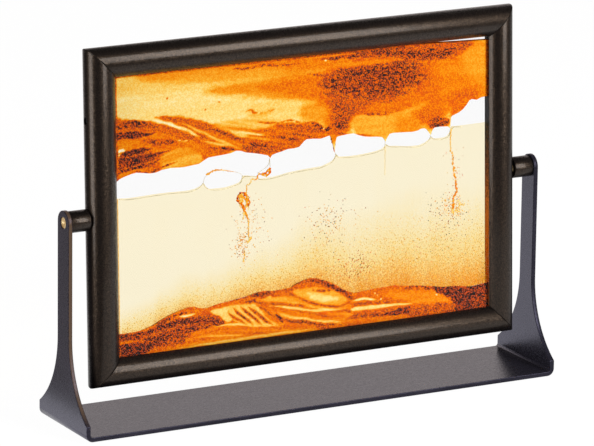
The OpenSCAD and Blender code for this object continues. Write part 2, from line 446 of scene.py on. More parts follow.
# Sand above the bubbles, pale at the left and dark at the right
UPPER_STRATA = Strata(ground=0.25, layers=(
    # Golden and orange clouds behind the layers
    Patch(0.33, ((-116, 78), (-116, 66), (-80, 64), (-30, 66), (-10, 78)), soft=7),
    Patch(0.48, ((-100, 80), (-98, 72), (-80, 68.5), (-55, 66.5), (-30, 65.5), (0, 63), (0, 80)), soft=5),
    Patch(0.56, ((-46, 80), (-40, 72.5), (-20, 70.5), (0, 66.5), (40, 65), (70, 66), (70, 80)), soft=4),
    Patch(0.50, ((-60, 61.5), (-44, 64), (-20, 65), (10, 65.5), (30, 62), (26, 50), (10, 48), (0, 49.5),
        (-12, 51.5), (-26, 55), (-44, 58)), soft=5),
    Patch(0.60, ((-28, 60.5), (-10, 63), (16, 64.5), (26, 58), (18, 50), (6, 50.5), (-10, 54.5)), soft=5),
    Patch(0.30, ((-30, 52), (0, 51), (4, 44), (-16, 42), (-34, 44)), soft=5),
    Patch(0.48, ((-2, 47), (4, 50), (20, 50), (24, 40), (18, 36), (6, 38), (-2, 42)), soft=5),
    Patch(0.66, ((14, 66), (40, 68), (80, 72), (92, 64), (90, 48), (88, 36), (84, 28), (70, 30), (58, 42),
        (40, 39), (30, 37), (24, 29.5), (14, 34), (15, 44), (9, 50), (12, 57)), soft=7, ragged=1.2),
    Patch(0.56, ((84, 70), (116, 70), (116, 40), (98, 36), (88, 36), (82, 48)), soft=10, ragged=1.0),
    Patch(0.47, ((99, 69), (114, 69), (114, 48), (104, 50), (98, 60)), soft=8, ragged=1.0),
    Patch(0.72, ((16, 52), (36, 51), (52, 47), (58, 41), (44, 39), (32, 40), (26, 31), (18, 31), (17, 42)),
        soft=6, ragged=1.5),
    Patch(0.65, ((90, 46), (104, 46), (106, 40), (98, 35), (90, 33)), soft=4),
    # Golden ground over the middle bubbles
    Patch(0.62, ((40, 45), (60, 46), (84, 45), (92, 42), (80, 39), (66, 38), (54, 37), (40, 40)), soft=5),
    Patch(0.44, ((29, 38.5), (34, 39.5), (44, 37.5), (56, 38), (66, 41), (76, 42), (68, 38), (62, 35.5),
        (58, 30), (52, 25), (38, 25), (31, 28)), soft=3.5),
    Patch(0.52, ((56, 34), (64, 36), (70, 34), (71, 26), (56, 26)), soft=5),
    # Dark grains thrown together at the right
    Patch(0.84, ((13, 62), (22, 65.5), (40, 66), (56, 65.8), (66, 64), (73, 60), (73, 56), (68, 52),
        (60, 49), (50, 47.5), (40, 49), (28, 50.5), (20, 53), (12, 57.5)), soft=7, ragged=2.4),
    Patch(0.89, ((24, 63), (44, 64), (60, 63), (62, 54), (50, 50.5), (34, 53), (24, 57)), soft=7,
        ragged=1.5),
    Seam(0.88, ((6, 59), (14, 57.2), (26, 54), (36, 52)), thick=2.2, soft=1.6, gaps=0.3),
    Seam(0.80, ((10, 54.5), (18, 51.5), (26, 50)), thick=1.6, soft=1.4, gaps=0.4),
    Seam(0.78, ((2, 65), (12, 63.4), (22, 61.5)), thick=1.4, soft=1.4, gaps=0.4),
    Seam(0.53, ((8, 67.8), (30, 67.6), (52, 67.4), (66, 67.2)), thick=3.0, soft=2.2, ends=(0.3, 0.4)),
    Patch(0.74, ((28, 80), (30, 71), (50, 69.5), (62, 67), (84, 65.5), (98, 67), (102, 80)), soft=4,
        ragged=1.2),
    Patch(0.85, ((34, 80), (36, 72), (50, 70.5), (60, 71), (62, 80)), ragged=1.5),
    Patch(0.88, ((50, 70.5), (62, 71.3), (80, 70.5), (92, 69), (84, 66), (70, 66.3), (58, 68.3)),
        ragged=1.5),
    Patch(0.83, ((18, 46), (24, 47), (30, 43), (27, 36), (22, 32), (17, 36), (20, 40)), soft=5,
        strength=0.8, ragged=2),
    Patch(0.86, ((77, 31), (81, 33), (88, 31.5), (89.5, 29), (83, 27), (77, 28)), soft=2, ragged=0.8),
    # Left mound: orange sand with dark bands that sweep up to the right
    Beds(0.55, ((-118, 50.7), (-104, 51), (-98, 50.4), (-92, 49.2), (-84, 46.8), (-78, 44.5), (-70, 41.2),
        (-64.5, 38.2), (-60, 33), (-56, 23), (-118, 15)), soft=1.0, dark=0.72, spacing=1.6, length=30,
        guide=((-114, 45), (-100, 44.5), (-84, 41), (-60, 31))),
    Beds(0.40, ((-84, 33), (-70, 33), (-62, 30), (-58, 22), (-84, 21)), soft=6, dark=0.55, spacing=1.8,
        guide=((-90, 26), (-74, 30), (-58, 30))),
    Seam(0.84, ((-116, 48.4), (-104, 48.6), (-98, 48.2), (-92, 46.6), (-86, 44.6)), thick=4.0, soft=1.2,
        ends=(0, 0.45)),
    Seam(0.66, ((-116, 45.3), (-100, 45.2), (-90, 44.4)), ends=(0, 0.4)),
    Seam(1.0, ((-116, 43), (-104, 42.8), (-96, 42.4), (-88, 42.4)), thick=3.3, soft=1.0, ends=(0, 0.4)),
    Seam(0.56, ((-116, 38), (-104, 38.4), (-94, 39.4)), thick=4.0, soft=1.6, ends=(0, 0.4)),
    Seam(0.84, ((-97, 39.6), (-90, 37.8), (-82, 36.9), (-74, 36.6)), thick=1.9, gaps=0.25),
    Seam(0.12, ((-76, 36.9), (-72, 36.7), (-68, 36.6)), thick=0.8, gaps=0.3),
    Seam(1.0, ((-110, 31.5), (-104, 33.4), (-98, 34), (-90, 34.2)), thick=2.8, soft=1.0, ends=(0.1, 0.3)),
    Seam(0.99, ((-116, 29), (-104, 29.6), (-96, 30), (-88, 31.2), (-80, 32.2)), thick=3.2, soft=1.0,
        ends=(0, 0.5)),
    Seam(0.96, ((-116, 24.6), (-106, 27), (-98, 28), (-91, 28.6), (-84, 30)), thick=2.2, soft=0.9,
        ends=(0, 0.4)),
    Seam(0.92, ((-116, 22.4), (-106, 24.4), (-96, 25.4), (-91, 26.3), (-86, 28.4)), thick=1.6,
        ends=(0, 0.4)),
    Seam(0.84, ((-102, 23.4), (-96, 22.2), (-91, 21.8), (-86, 23.8), (-80, 25.2), (-76, 25.8)), thick=1.2,
        gaps=0.2),
    Seam(0.04, ((-112, 34.4), (-109, 35), (-106, 34.8)), thick=1.7, gaps=0.3),
    Seam(0.08, ((-112, 32.6), (-109.6, 32.8)), thick=1.2),
    Seam(0.14, ((-96, 50), (-90, 49.4), (-84, 47.6), (-78, 45.2), (-70, 41.8), (-63, 38.2))),
    # Second mound, a long streaky sweep down to the right
    Beds(0.54, ((-88, 50.6), (-76, 50.2), (-70, 48.8), (-60, 45.6), (-52, 42.2), (-44, 38), (-34, 33.4),
        (-26, 29.4), (-18, 25), (-22, 21), (-34, 25), (-42, 27.5), (-60, 22), (-62, 36), (-70, 42),
        (-80, 47.5)), soft=1.2, dark=0.74, spacing=1.5, length=36, guide=((-86, 50.5), (-72, 46), (-60, 41),
        (-44, 33), (-20, 22))),
    Seam(0.72, ((-76, 48.4), (-68, 46.4), (-58, 42.8), (-48, 38), (-38, 33.4), (-26, 27.6)), thick=3.4,
        soft=1.8, strength=0.8),
    Seam(0.85, ((-56, 41.4), (-48, 38.2), (-40, 34.4), (-30, 29.8)), thick=1.5, gaps=0.45),
    Seam(0.30, ((-76, 47.4), (-68, 43.4), (-60, 39.6), (-52, 35.2), (-44, 31.2), (-36, 28.4)), thick=1.4,
        soft=1.0, strength=0.85),
    Seam(0.20, ((-74, 44.2), (-68, 41.4), (-62, 38)), thick=0.8),
    Seam(0.36, ((-62, 35.8), (-54, 33.4), (-44, 30.4)), thick=1.2, soft=1.0),
    Seam(0.92, ((-56, 31.2), (-50, 30.2), (-44, 29), (-40.5, 28)), thick=1.4, ends=(0.5, 0.2)),
    Seam(0.68, ((-60, 28.4), (-52, 28.2), (-44, 27.8)), thick=2.2),
    # Third mound with pale streaks above and a dotted crest
    Beds(0.26, ((-54, 43.4), (-40, 44.5), (-28, 43.5), (-14, 41), (-8, 38), (-20, 33), (-34, 34),
        (-46, 39)), soft=2.5, dark=0.47, spacing=1.5, length=40, guide=((-54, 43), (-40, 39), (-10, 33))),
    Beds(0.47, ((-36, 34), (-26, 38), (-14, 39.6), (0, 38.8), (9, 36.3), (21, 32.6), (26, 30), (18, 26),
        (-20, 21), (-36, 26)), soft=2.0, dark=0.74, spacing=1.4, length=30, guide=((-40, 36), (-20, 31.5),
        (0, 27.5), (24, 23))),
    Patch(0.70, ((-22, 31), (-10, 34), (2, 34), (10, 33), (20, 31), (10, 27), (-6, 23.5), (-20, 22)),
        soft=5, strength=0.6),
    Seam(0.62, ((-46, 40.8), (-38, 39.2), (-28, 37), (-16, 34.2), (-6, 32.4)), thick=1.3),
    Seam(0.24, ((-44, 38.8), (-36, 37.2), (-28, 35.4), (-22, 34)), thick=1.1),
    Seam(0.76, ((-28, 42), (-20, 40.8), (-15, 40), (-9.5, 41), (-5, 39.9), (0, 39.1)), gaps=0.35),
    Seam(0.92, ((0, 39), (5, 37.6), (9, 36.6), (11, 34.8), (15, 33.8), (21, 32.4)), thick=2.0, gaps=0.35),
    Seam(0.10, ((11.3, 34.3), (12.6, 34)), thick=0.8),
    Seam(0.84, ((-34, 31), (-26, 29.4), (-18, 27.6)), thick=1.8, gaps=0.3),
    Seam(0.86, ((-16, 32.8), (-10, 31.4), (-4, 30)), thick=1.3, gaps=0.35),
    Seam(0.84, ((-8, 34), (0, 31.6), (8, 30.4)), thick=1.2, gaps=0.4),
    Seam(0.70, ((30, 29.4), (36, 28.2), (42, 27.2)), thick=0.9, gaps=0.2),
    # Fine dotted streaks high up
    Seam(0.80, ((-50, 72.8), (-38, 71.6), (-24, 72), (-12, 71), (2, 70.8)), thick=1.3, gaps=0.4),
    Seam(0.86, ((8, 72.4), (18, 71.8), (30, 71.8), (42, 72.6)), thick=2.0, gaps=0.35),
    Seam(0.05, ((12.4, 71.2), (13.8, 71.2)), thick=0.9),
    Seam(0.66, ((-35, 48), (-32, 49), (-30, 46.8), (-26, 46), (-23, 46.8), (-20, 47.2), (-17, 48.2)),
        thick=1.5, gaps=0.45),
    Seam(0.40, ((-34, 46), (-26, 45.2), (-18, 46.4)), thick=2.0, soft=2.0),
    Seam(0.80, ((34, 40), (42, 39), (50, 38.6), (58, 39.4)), thick=1.4, gaps=0.5),
    Seam(0.80, ((-82, 60.2), (-81, 60.2)), thick=0.7),
    Seam(0.80, ((-51, 55), (-50, 55)), thick=0.7),
    Seam(0.80, ((-59.5, 52), (-58.6, 52)), thick=0.7),
    # Red sand that clings to the edges of the cell
    Seam(0.76, ((-111.2, 78), (-111.2, 16)), thick=1.2, soft=0.5, ends=(0, 0)),
    Seam(0.76, ((-116, 74.6), (58, 74.6)), thick=1.6, soft=0.5, ends=(0, 0)),
    Seam(0.72, ((113, 74), (113, 40)), thick=2.0, soft=1.2, ends=(0, 0)),
))

# Dunes at the bottom
LOWER_STRATA = Strata(ground=0.60, shade=0.05, layers=(
    # Left dune with its brown lens
    Beds(0.67, ((-118, -63.6), (-98, -63.8), (-90, -61), (-80, -58.4), (-68, -58.8), (-58, -59.2),
        (-52, -61), (-48, -65), (-60, -66.5), (-68, -69), (-74, -72.5), (-92, -72.5), (-118, -72)),
        soft=1.6, dark=0.92, spacing=1.3, length=22, guide=((-114, -66), (-92, -65), (-76, -62),
        (-50, -64))),
    Patch(0.96, ((-118, -69.6), (-100, -69.4), (-92, -72), (-98, -76), (-118, -76)), soft=1.6),
    Seam(0.56, ((-116, -68), (-104, -68), (-96, -68.6)), thick=1.7, ends=(0, 0.4)),
    Seam(0.93, ((-116, -65.2), (-106, -66), (-98, -66), (-92, -63.6), (-86, -60.6)), thick=1.6, gaps=0.2),
    Seam(0.86, ((-92, -62.6), (-86, -59.6), (-80, -57.4), (-74, -56.4), (-68, -56.2)), thick=1.6,
        gaps=0.35),
    Seam(0.60, ((-94, -73.6), (-84, -74), (-74, -74.6)), thick=1.2),
    Seam(0.10, ((-77, -57.8), (-71, -58), (-66, -57.4)), thick=1.2),
    Patch(0.24, ((-58, -57.4), (-50, -56.2), (-44, -56.6), (-42, -60), (-46, -64.8), (-52, -61)), soft=1.2,
        ragged=0.3),
    # Orange sand and pale lines under it
    Beds(0.42, ((-66, -67), (-48, -65.6), (-30, -68.6), (-10, -70), (12, -74.5), (10, -78), (-80, -78),
        (-74, -72)), soft=1.8, dark=0.64, spacing=1.6, length=60, guide=((-74, -70), (-50, -68),
        (-30, -70.5), (10, -76))),
    Seam(0.22, ((-56, -65.8), (-44, -66), (-34, -67.8), (-22, -69.2), (-10, -69.8)), thick=1.3),
    Seam(0.32, ((-66, -70.2), (-50, -71.4), (-36, -72.6)), thick=0.9),
    Seam(0.30, ((-76, -75), (-30, -74.6), (10, -74.8)), thick=1.6),
    # Crest of the middle dune
    Beds(0.62, ((-44, -53), (-30, -49), (-18, -50), (-4, -47), (4, -45), (12, -48), (22, -54), (30, -60),
        (24, -60), (12, -54), (0, -51), (-10, -54), (-22, -55), (-36, -55.5)), soft=1.4, dark=0.82,
        spacing=1.3, length=20, guide=((-44, -54), (-26, -50.5), (-10, -51), (2, -47), (30, -60))),
    Patch(0.86, ((-35, -52.4), (-30, -51), (-23, -50.4), (-22, -52), (-30, -52.8)), soft=1.2),
    # Laminated sand under the crest
    Beds(0.32, ((-30, -54.5), (-12, -54), (0, -58), (12, -62.5), (26, -63.5), (29, -68), (29, -78),
        (14, -77), (-2, -70.4), (-14, -69), (-20, -62)), soft=1.4, dark=0.70, spacing=1.9, length=48,
        guide=((-30, -54), (-14, -57), (0, -61), (14, -65), (30, -67.5))),
    # Steep ripples
    Patch(0.30, ((-47, -56.4), (-34, -56), (-26, -58.6), (-13, -69), (-24, -69.6), (-40, -66.4)), soft=1.4,
        ragged=0.3),
    Patch(0.56, ((-28, -58.6), (-20, -61), (-13, -68.6), (-18, -69)), soft=1.6),
    Seam(0.70, ((-47, -58.6), (-42, -63), (-36, -67.2)), thick=1.3),
    Seam(0.78, ((-43.6, -57), (-38.5, -62), (-32, -67.8)), thick=1.4),
    Seam(0.84, ((-39, -57), (-33, -62.5), (-26, -68.6)), thick=1.4),
    Seam(0.82, ((-34.4, -57.6), (-28, -63), (-20, -69.2)), thick=1.6),
    Seam(0.78, ((-30, -57), (-24, -61), (-17, -66.6))),
    Seam(0.95, ((-18, -63.8), (-15.5, -66.6), (-13.4, -69.2)), thick=1.8),
    # Pale lens and the lines round it
    Patch(0.38, ((-8, -52.8), (0, -51.2), (12, -53), (20, -57), (26, -61.4), (20, -63), (8, -61.4),
        (0, -58.4)), soft=1.4, ragged=0.4),
    Patch(0.22, ((1, -54), (8, -55.6), (16, -58), (20, -60.4), (12, -60.4), (4, -58)), soft=2.0),
    Seam(0.92, ((0, -47.4), (8, -48.8), (14, -51), (20, -54.6), (25, -57.4), (29, -60.8)), thick=1.8,
        gaps=0.25),
    Seam(0.74, ((-10, -53.6), (0, -58.8), (8, -61.8), (16, -63.4), (22, -63.9), (27, -62.2)), thick=1.2),
    Seam(0.76, ((4, -52.6), (8, -54), (18, -54.8)), thick=1.2, gaps=0.2),
    Seam(0.70, ((-20, -57.4), (-6, -60.4), (2, -61))),
    Seam(0.22, ((-22, -58.6), (-8, -61.6), (4, -64.2), (24, -66)), thick=1.5),
    Seam(0.24, ((-12, -66.4), (0, -68.6), (10, -70.8), (24, -73.2)), thick=1.1),
    Seam(0.82, ((-14, -67.4), (0, -70.2), (10, -72.6), (22, -74.4)), thick=1.4),
    # Bands and mounds at the right
    Beds(0.56, ((30, -69), (60, -69.6), (70, -72), (74, -78), (26, -78)), soft=1.4, dark=0.76, spacing=1.4,
        guide=((28, -70), (72, -72))),
    Seam(0.14, ((28, -62), (36, -61.8), (44, -63.2)), thick=1.4),
    Seam(0.72, ((28, -64), (40, -64.8), (52, -65.4), (64, -66.4)), thick=1.6, ends=(0.05, 0.4)),
    Seam(0.20, ((27.6, -66.4), (40, -67), (54, -67.2), (68, -68.2)), thick=2.2, soft=0.9, ends=(0.05, 0.5)),
    Seam(0.66, ((28, -69), (46, -69.2), (66, -69.6)), thick=1.8),
    Seam(0.94, ((40, -72), (52, -72), (60, -71), (66, -70.8), (71, -72.4), (77, -75)), thick=3.2,
        ends=(0.5, 0.3)),
    Patch(0.47, ((46, -59.8), (62, -60.6), (76, -61.6), (86, -66.6), (94, -75), (78, -75), (68, -68.4),
        (56, -64.4)), soft=2.4, ragged=0.8),
    Patch(0.70, ((66, -69), (80, -69.5), (92, -70.5), (98, -78), (66, -78)), soft=2.4, ragged=0.8),
    Seam(0.80, ((60, -59), (70, -59.6), (80, -61)), thick=2.2, gaps=0.35),
    Patch(0.98, ((76, -60.2), (86, -60.6), (92, -60.8), (100, -62.6), (118, -61.4), (118, -78), (96, -78),
        (91, -70), (86, -65.6)), soft=1.6),
    Patch(0.88, ((103, -70), (114, -68), (114, -76), (104, -76))),
    Seam(0.82, ((79.4, -71), (80.2, -70), (81.8, -70), (82.6, -71), (81.8, -72), (80.2, -72), (79.4, -71)),
        thick=0.8, ends=(0, 0)),
    Seam(0.02, ((42.2, -59.4), (43.2, -59.4))),
    Seam(0.02, ((43.6, -60.7), (44.6, -60.7)), thick=0.8),
    Seam(0.02, ((46.2, -63.2), (47, -63.2)), thick=0.8),
    Seam(0.04, ((80.6, -65.2), (81.6, -65.2)), thick=0.8),
    Seam(0.76, ((-111.2, -60), (-111.2, -78)), thick=1.2, soft=0.5, ends=(0, 0)),
))

# Underside of the upper sand, over the row of bubbles
SAND_UNDERSIDE: Line = (
    (-113.5, 18.2), (-111.3, 18.9), (-109.8, 20), (-107, 21), (-103, 22), (-100, 22.5), (-96, 21.9),
    (-92, 21.2), (-88.5, 21.3), (-85, 22.3), (-80, 22.8), (-72, 22.4), (-63, 23.2), (-60, 24.8),
    (-57.5, 26), (-48, 26.6), (-44, 26.9), (-41, 27.9), (-38, 27.5), (-35, 26.3), (-30, 25.4),
    (-25, 24.2), (-21.5, 23.2), (-20.6, 21.5), (-19.7, 23.2), (-17, 24), (-14, 24.5), (-10, 25.5),
    (-6, 25.5), (-3, 26), (0, 28.8), (1.5, 29.6), (5, 29.5), (10, 29), (12, 29.4), (15.5, 30.2),
    (16.6, 28.5), (17.6, 24), (18.4, 21.2), (18.8, 24.5), (19.2, 28), (20, 29), (22, 29.3), (26, 29.7),
    (30, 29.8), (33, 28.5), (36, 27.5), (40, 26.8), (44, 26.5), (47, 26), (48.6, 25), (49.5, 23),
    (50.3, 25), (52, 27.2), (54, 27.5), (60, 27.2), (66, 26.8), (69.5, 27.2), (71, 27.9), (73.5, 28),
    (75, 27), (76.3, 25.3), (77.4, 23.6), (78.3, 26.3), (79.5, 27.7), (83, 27.9), (88, 27.5),
    (89, 26.6), (89.5, 26.2), (90, 32.4), (90.8, 33.1), (95, 34.5), (97.5, 36), (100, 38.5),
    (101.5, 40.5), (103, 41), (106, 40.3), (109, 41.4), (113.5, 41.8),
)

# Top of the liquid, under the row of bubbles
LIQUID_TOP: Line = (
    (-113.5, 9.6), (-110, 9.4), (-103, 8.6), (-90, 9), (-80, 9.1), (-70, 8.8), (-66, 9.3), (-63, 10.3),
    (-61.2, 11.6), (-60.3, 12.6), (-59.6, 11.2), (-58.8, 10.1), (-57, 9), (-53, 8.1), (-48, 8.1),
    (-43, 8.9), (-38.5, 10.2), (-37.4, 11.8), (-36.9, 13.9), (-35.5, 13.6), (-33, 13.3), (-30, 13),
    (-28.3, 12.4), (-27.3, 11.2), (-26, 10.8), (-24, 10.5), (-20, 10.6), (-15, 11.2), (-10, 12),
    (0, 12.8), (10, 13.2), (15, 14.8), (17.5, 16), (18.8, 17.6), (19.4, 19.6), (20.1, 18.8), (21, 17.9),
    (25, 17.2), (30, 16.9), (35, 17.1), (40, 17.5), (44, 18), (48, 19), (49.2, 20.2), (49.7, 21.8),
    (50.4, 21.4), (52, 20.4), (55, 19.8), (60, 19.4), (66, 18.5), (70, 18.3), (74, 19.5), (76, 20.8),
    (77.2, 22), (77.7, 22.9), (78.4, 22.4), (79.5, 21.6), (82, 21), (85, 20.9), (88, 21.6),
    (89.3, 22.7), (90, 25.5), (90.6, 27.2), (92, 27), (97, 26.4), (113.5, 26.6),
)

# Surface of the dunes
DUNE_TOP: Line = (
    (-113.5, -63), (-103, -63), (-98, -62.5), (-94, -61.5), (-90, -60.3), (-86, -58.3), (-82, -56.6),
    (-78, -55.4), (-74, -54.3), (-70, -53.5), (-67, -53.6), (-64, -54.7), (-60, -55.3), (-57, -54.8),
    (-52, -53.7), (-46, -53), (-40, -52.3), (-34, -51.5), (-29, -50.3), (-25, -50), (-20, -50.7),
    (-14, -50.5), (-8, -50), (-4, -48), (0, -46.8), (3, -46.3), (7, -47), (11, -48.5), (15, -50),
    (19, -52.3), (23, -55), (27, -57), (30, -57.8), (40, -57), (55, -56.5), (60, -57.5), (70, -58.5),
    (78, -59.8), (84, -61), (94, -61.5), (102, -62.9), (113.5, -61.7),
)

# Top of the upper sand, which leaves a sliver of air at the right
SAND_TOP: Line = ((-113.5, 75.9), (58, 75.9), (60, 74.8), (75, 74.1), (95, 73.2), (113.5, 72.5))

# Height over the dunes at which sand hangs in the liquid, and how thickly it hangs just over them
HAZE_REACH: Line = ((-113.5, 18), (-60, 22), (-20, 30), (0, 38), (20, 48), (50, 58), (80, 62), (113.5, 66))
HAZE_THICK: Line = ((-113.5, 0.65), (-60, 0.72), (0, 0.82), (60, 0.95), (113.5, 1.0))

# How fast the haze thins upwards, and the share of its streaks that is left where it ends
HAZE_THINNING = 1.9
HAZE_LEAST = 0.15

# Strengths of the haze's upright streaks and of its wide clouds, and their widths and heights
HAZE_STRENGTHS: Point = (0.05, 0.06)
HAZE_STREAK: Point = (2.5, 60.0)
HAZE_CLOUD: Point = (12.0, 9.0)

# Where the sand that clings to the left edge ends, and where the clear line beside it ends
CLINGING_END = -110.9
CLEAR_END = -110.3


def haze(x: Array, z: Array) -> Array:
    """Gives how thickly sand hangs in the liquid.

    Args:
        x: Places across.
        z: Places up.

    Returns:
        Haze from 0 for clear liquid to 1 for the thickest, and -1 for the clear edge.
    """
    height = z - height_on(DUNE_TOP, x)
    share = np.clip(1.0 - height / height_on(HAZE_REACH, x), 0.0, 1.0)
    streaks = HAZE_STRENGTHS[0] * blobs(x, z, HAZE_STREAK, 4)
    streaks = streaks + HAZE_STRENGTHS[1] * blobs(x, z, HAZE_CLOUD, 5)
    thick = share**HAZE_THINNING * height_on(HAZE_THICK, x) + streaks * (HAZE_LEAST + share)
    thick = np.clip(thick, 0.0, 1.0)
    thick = np.where(x < CLINGING_END, 1.0, thick)
    return np.where((x > CLINGING_END) & (x < CLEAR_END), -1.0, thick)


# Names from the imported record


class Body(Enum):
    """A body of the part that a piece rides on."""

    STAND = "stand"
    FRAME = "frame"


class Slot(Enum):
    """A material slot of the record."""

    POWDER_COAT = "powder_coat"
    FOOT_PAD = "foot_pad"
    FRAME_BAR = "frame_bar"
    CORNER_KEY = "corner_key"
    PANE = "pane"
    SPACER = "spacer"
    LIQUID = "liquid"
    SAND = "sand"
    BUSH = "bush"
    PIN = "pin"


class Side(Enum):
    """A side of the frame, with the turn that brings a bar from the top to it."""

    TOP = 0.0
    RIGHT = 90.0
    BOTTOM = 180.0
    LEFT = -90.0


# Finishes


def linear(colour: str) -> tuple[float, float, float, float]:
    """Turns an sRGB hex colour into linear light.

    Args:
        colour: Six hex digits.

    Returns:
        Linear red, green and blue, and an alpha of 1.
    """
    parts = [int(colour[i : i + 2], 16) / 255.0 for i in (0, 2, 4)]
    light = [p / 12.92 if p <= 0.04045 else ((p + 0.055) / 1.055) ** 2.4 for p in parts]
    return light[0], light[1], light[2], 1.0


def add_node(
    tree: NodeTree,
    kind: str,
    inputs: dict[str | int, object] | None = None,
    stops: Sequence[tuple[float, str]] = (),
    **settings: object,
) -> Node:
    """Adds a shader node with its settings and links.

    Args:
        tree: Tree that gets the node.
        kind: The node's type, without the words that all shader nodes' types start with.
        inputs: For each input that is set, its value, a socket, or a node whose first socket feeds it.
            From and To take a pair, the ends of a range.
        stops: Places and hex colours of a colour ramp.
        settings: The node's own properties.

    Returns:
        The node.
    """
    node = tree.nodes.new("ShaderNode" + kind)
    for name, value in settings.items():
        setattr(node, name, value)
    given = dict(inputs or {})
    for span in ("From", "To"):
        if span in given:
            given[f"{span} Min"], given[f"{span} Max"] = given.pop(span)
    for key, value in given.items():
        source = value.outputs[0] if isinstance(value, Node) else value
        if isinstance(source, NodeSocket):
            tree.links.new(source, node.inputs[key])
        else:
            node.inputs[key].default_value = source
    if stops:
        elements = node.color_ramp.elements
        while len(elements) < len(stops):
            elements.new(1.0)
        for element, (place, colour) in zip(elements, stops):
            element.position = place
            element.color = linear(colour)
    return node


def per_metre(millimetres: float) -> float:
    """Gives the scale of a pattern whose features have a size in millimetres."""
    return 1.0 / (millimetres * MM)


@dataclass(frozen=True)
class Finish:
    """A surface finish, whose material is made at its first use.

    Attributes:
        name: Common name of the real material and how it was made.
    """

    name: str

    def material(self) -> Material:
        """Gives the finish's material.

        Returns:
            The material, made once.
        """
        ready = bpy.data.materials.get(self.name)
        if ready is not None:
            return ready
        material = bpy.data.materials.new(self.name)
        material.use_nodes = True
        material.node_tree.nodes.clear()
        add = partial(add_node, material.node_tree)
        add("OutputMaterial", {"Surface": self.surface(add)})
        return material

    def surface(self, add: Adder) -> Node:
        """Builds the finish's shader.

        Args:
            add: Adds a node to its material.

        Returns:
            The shader.
        """
        raise NotImplementedError

    def place(self, add: Adder) -> NodeSocket:
        """Gives the place on the piece, from which patterns are worked out."""
        return add("TexCoord").outputs["Object"]

    def cells(self, add: Adder, size: float) -> tuple[Node, Node]:
        """Adds a pattern of small cells.

        Args:
            add: Adds a node to its material.
            size: Size of a cell.

        Returns:
            The pattern, and three random numbers from 0 to 1 that differ from cell to cell.
        """
        cells = add("TexVoronoi", {"Vector": self.place(add), "Scale": per_metre(size)})
        return cells, add("SeparateColor", {"Color": cells.outputs["Color"]})


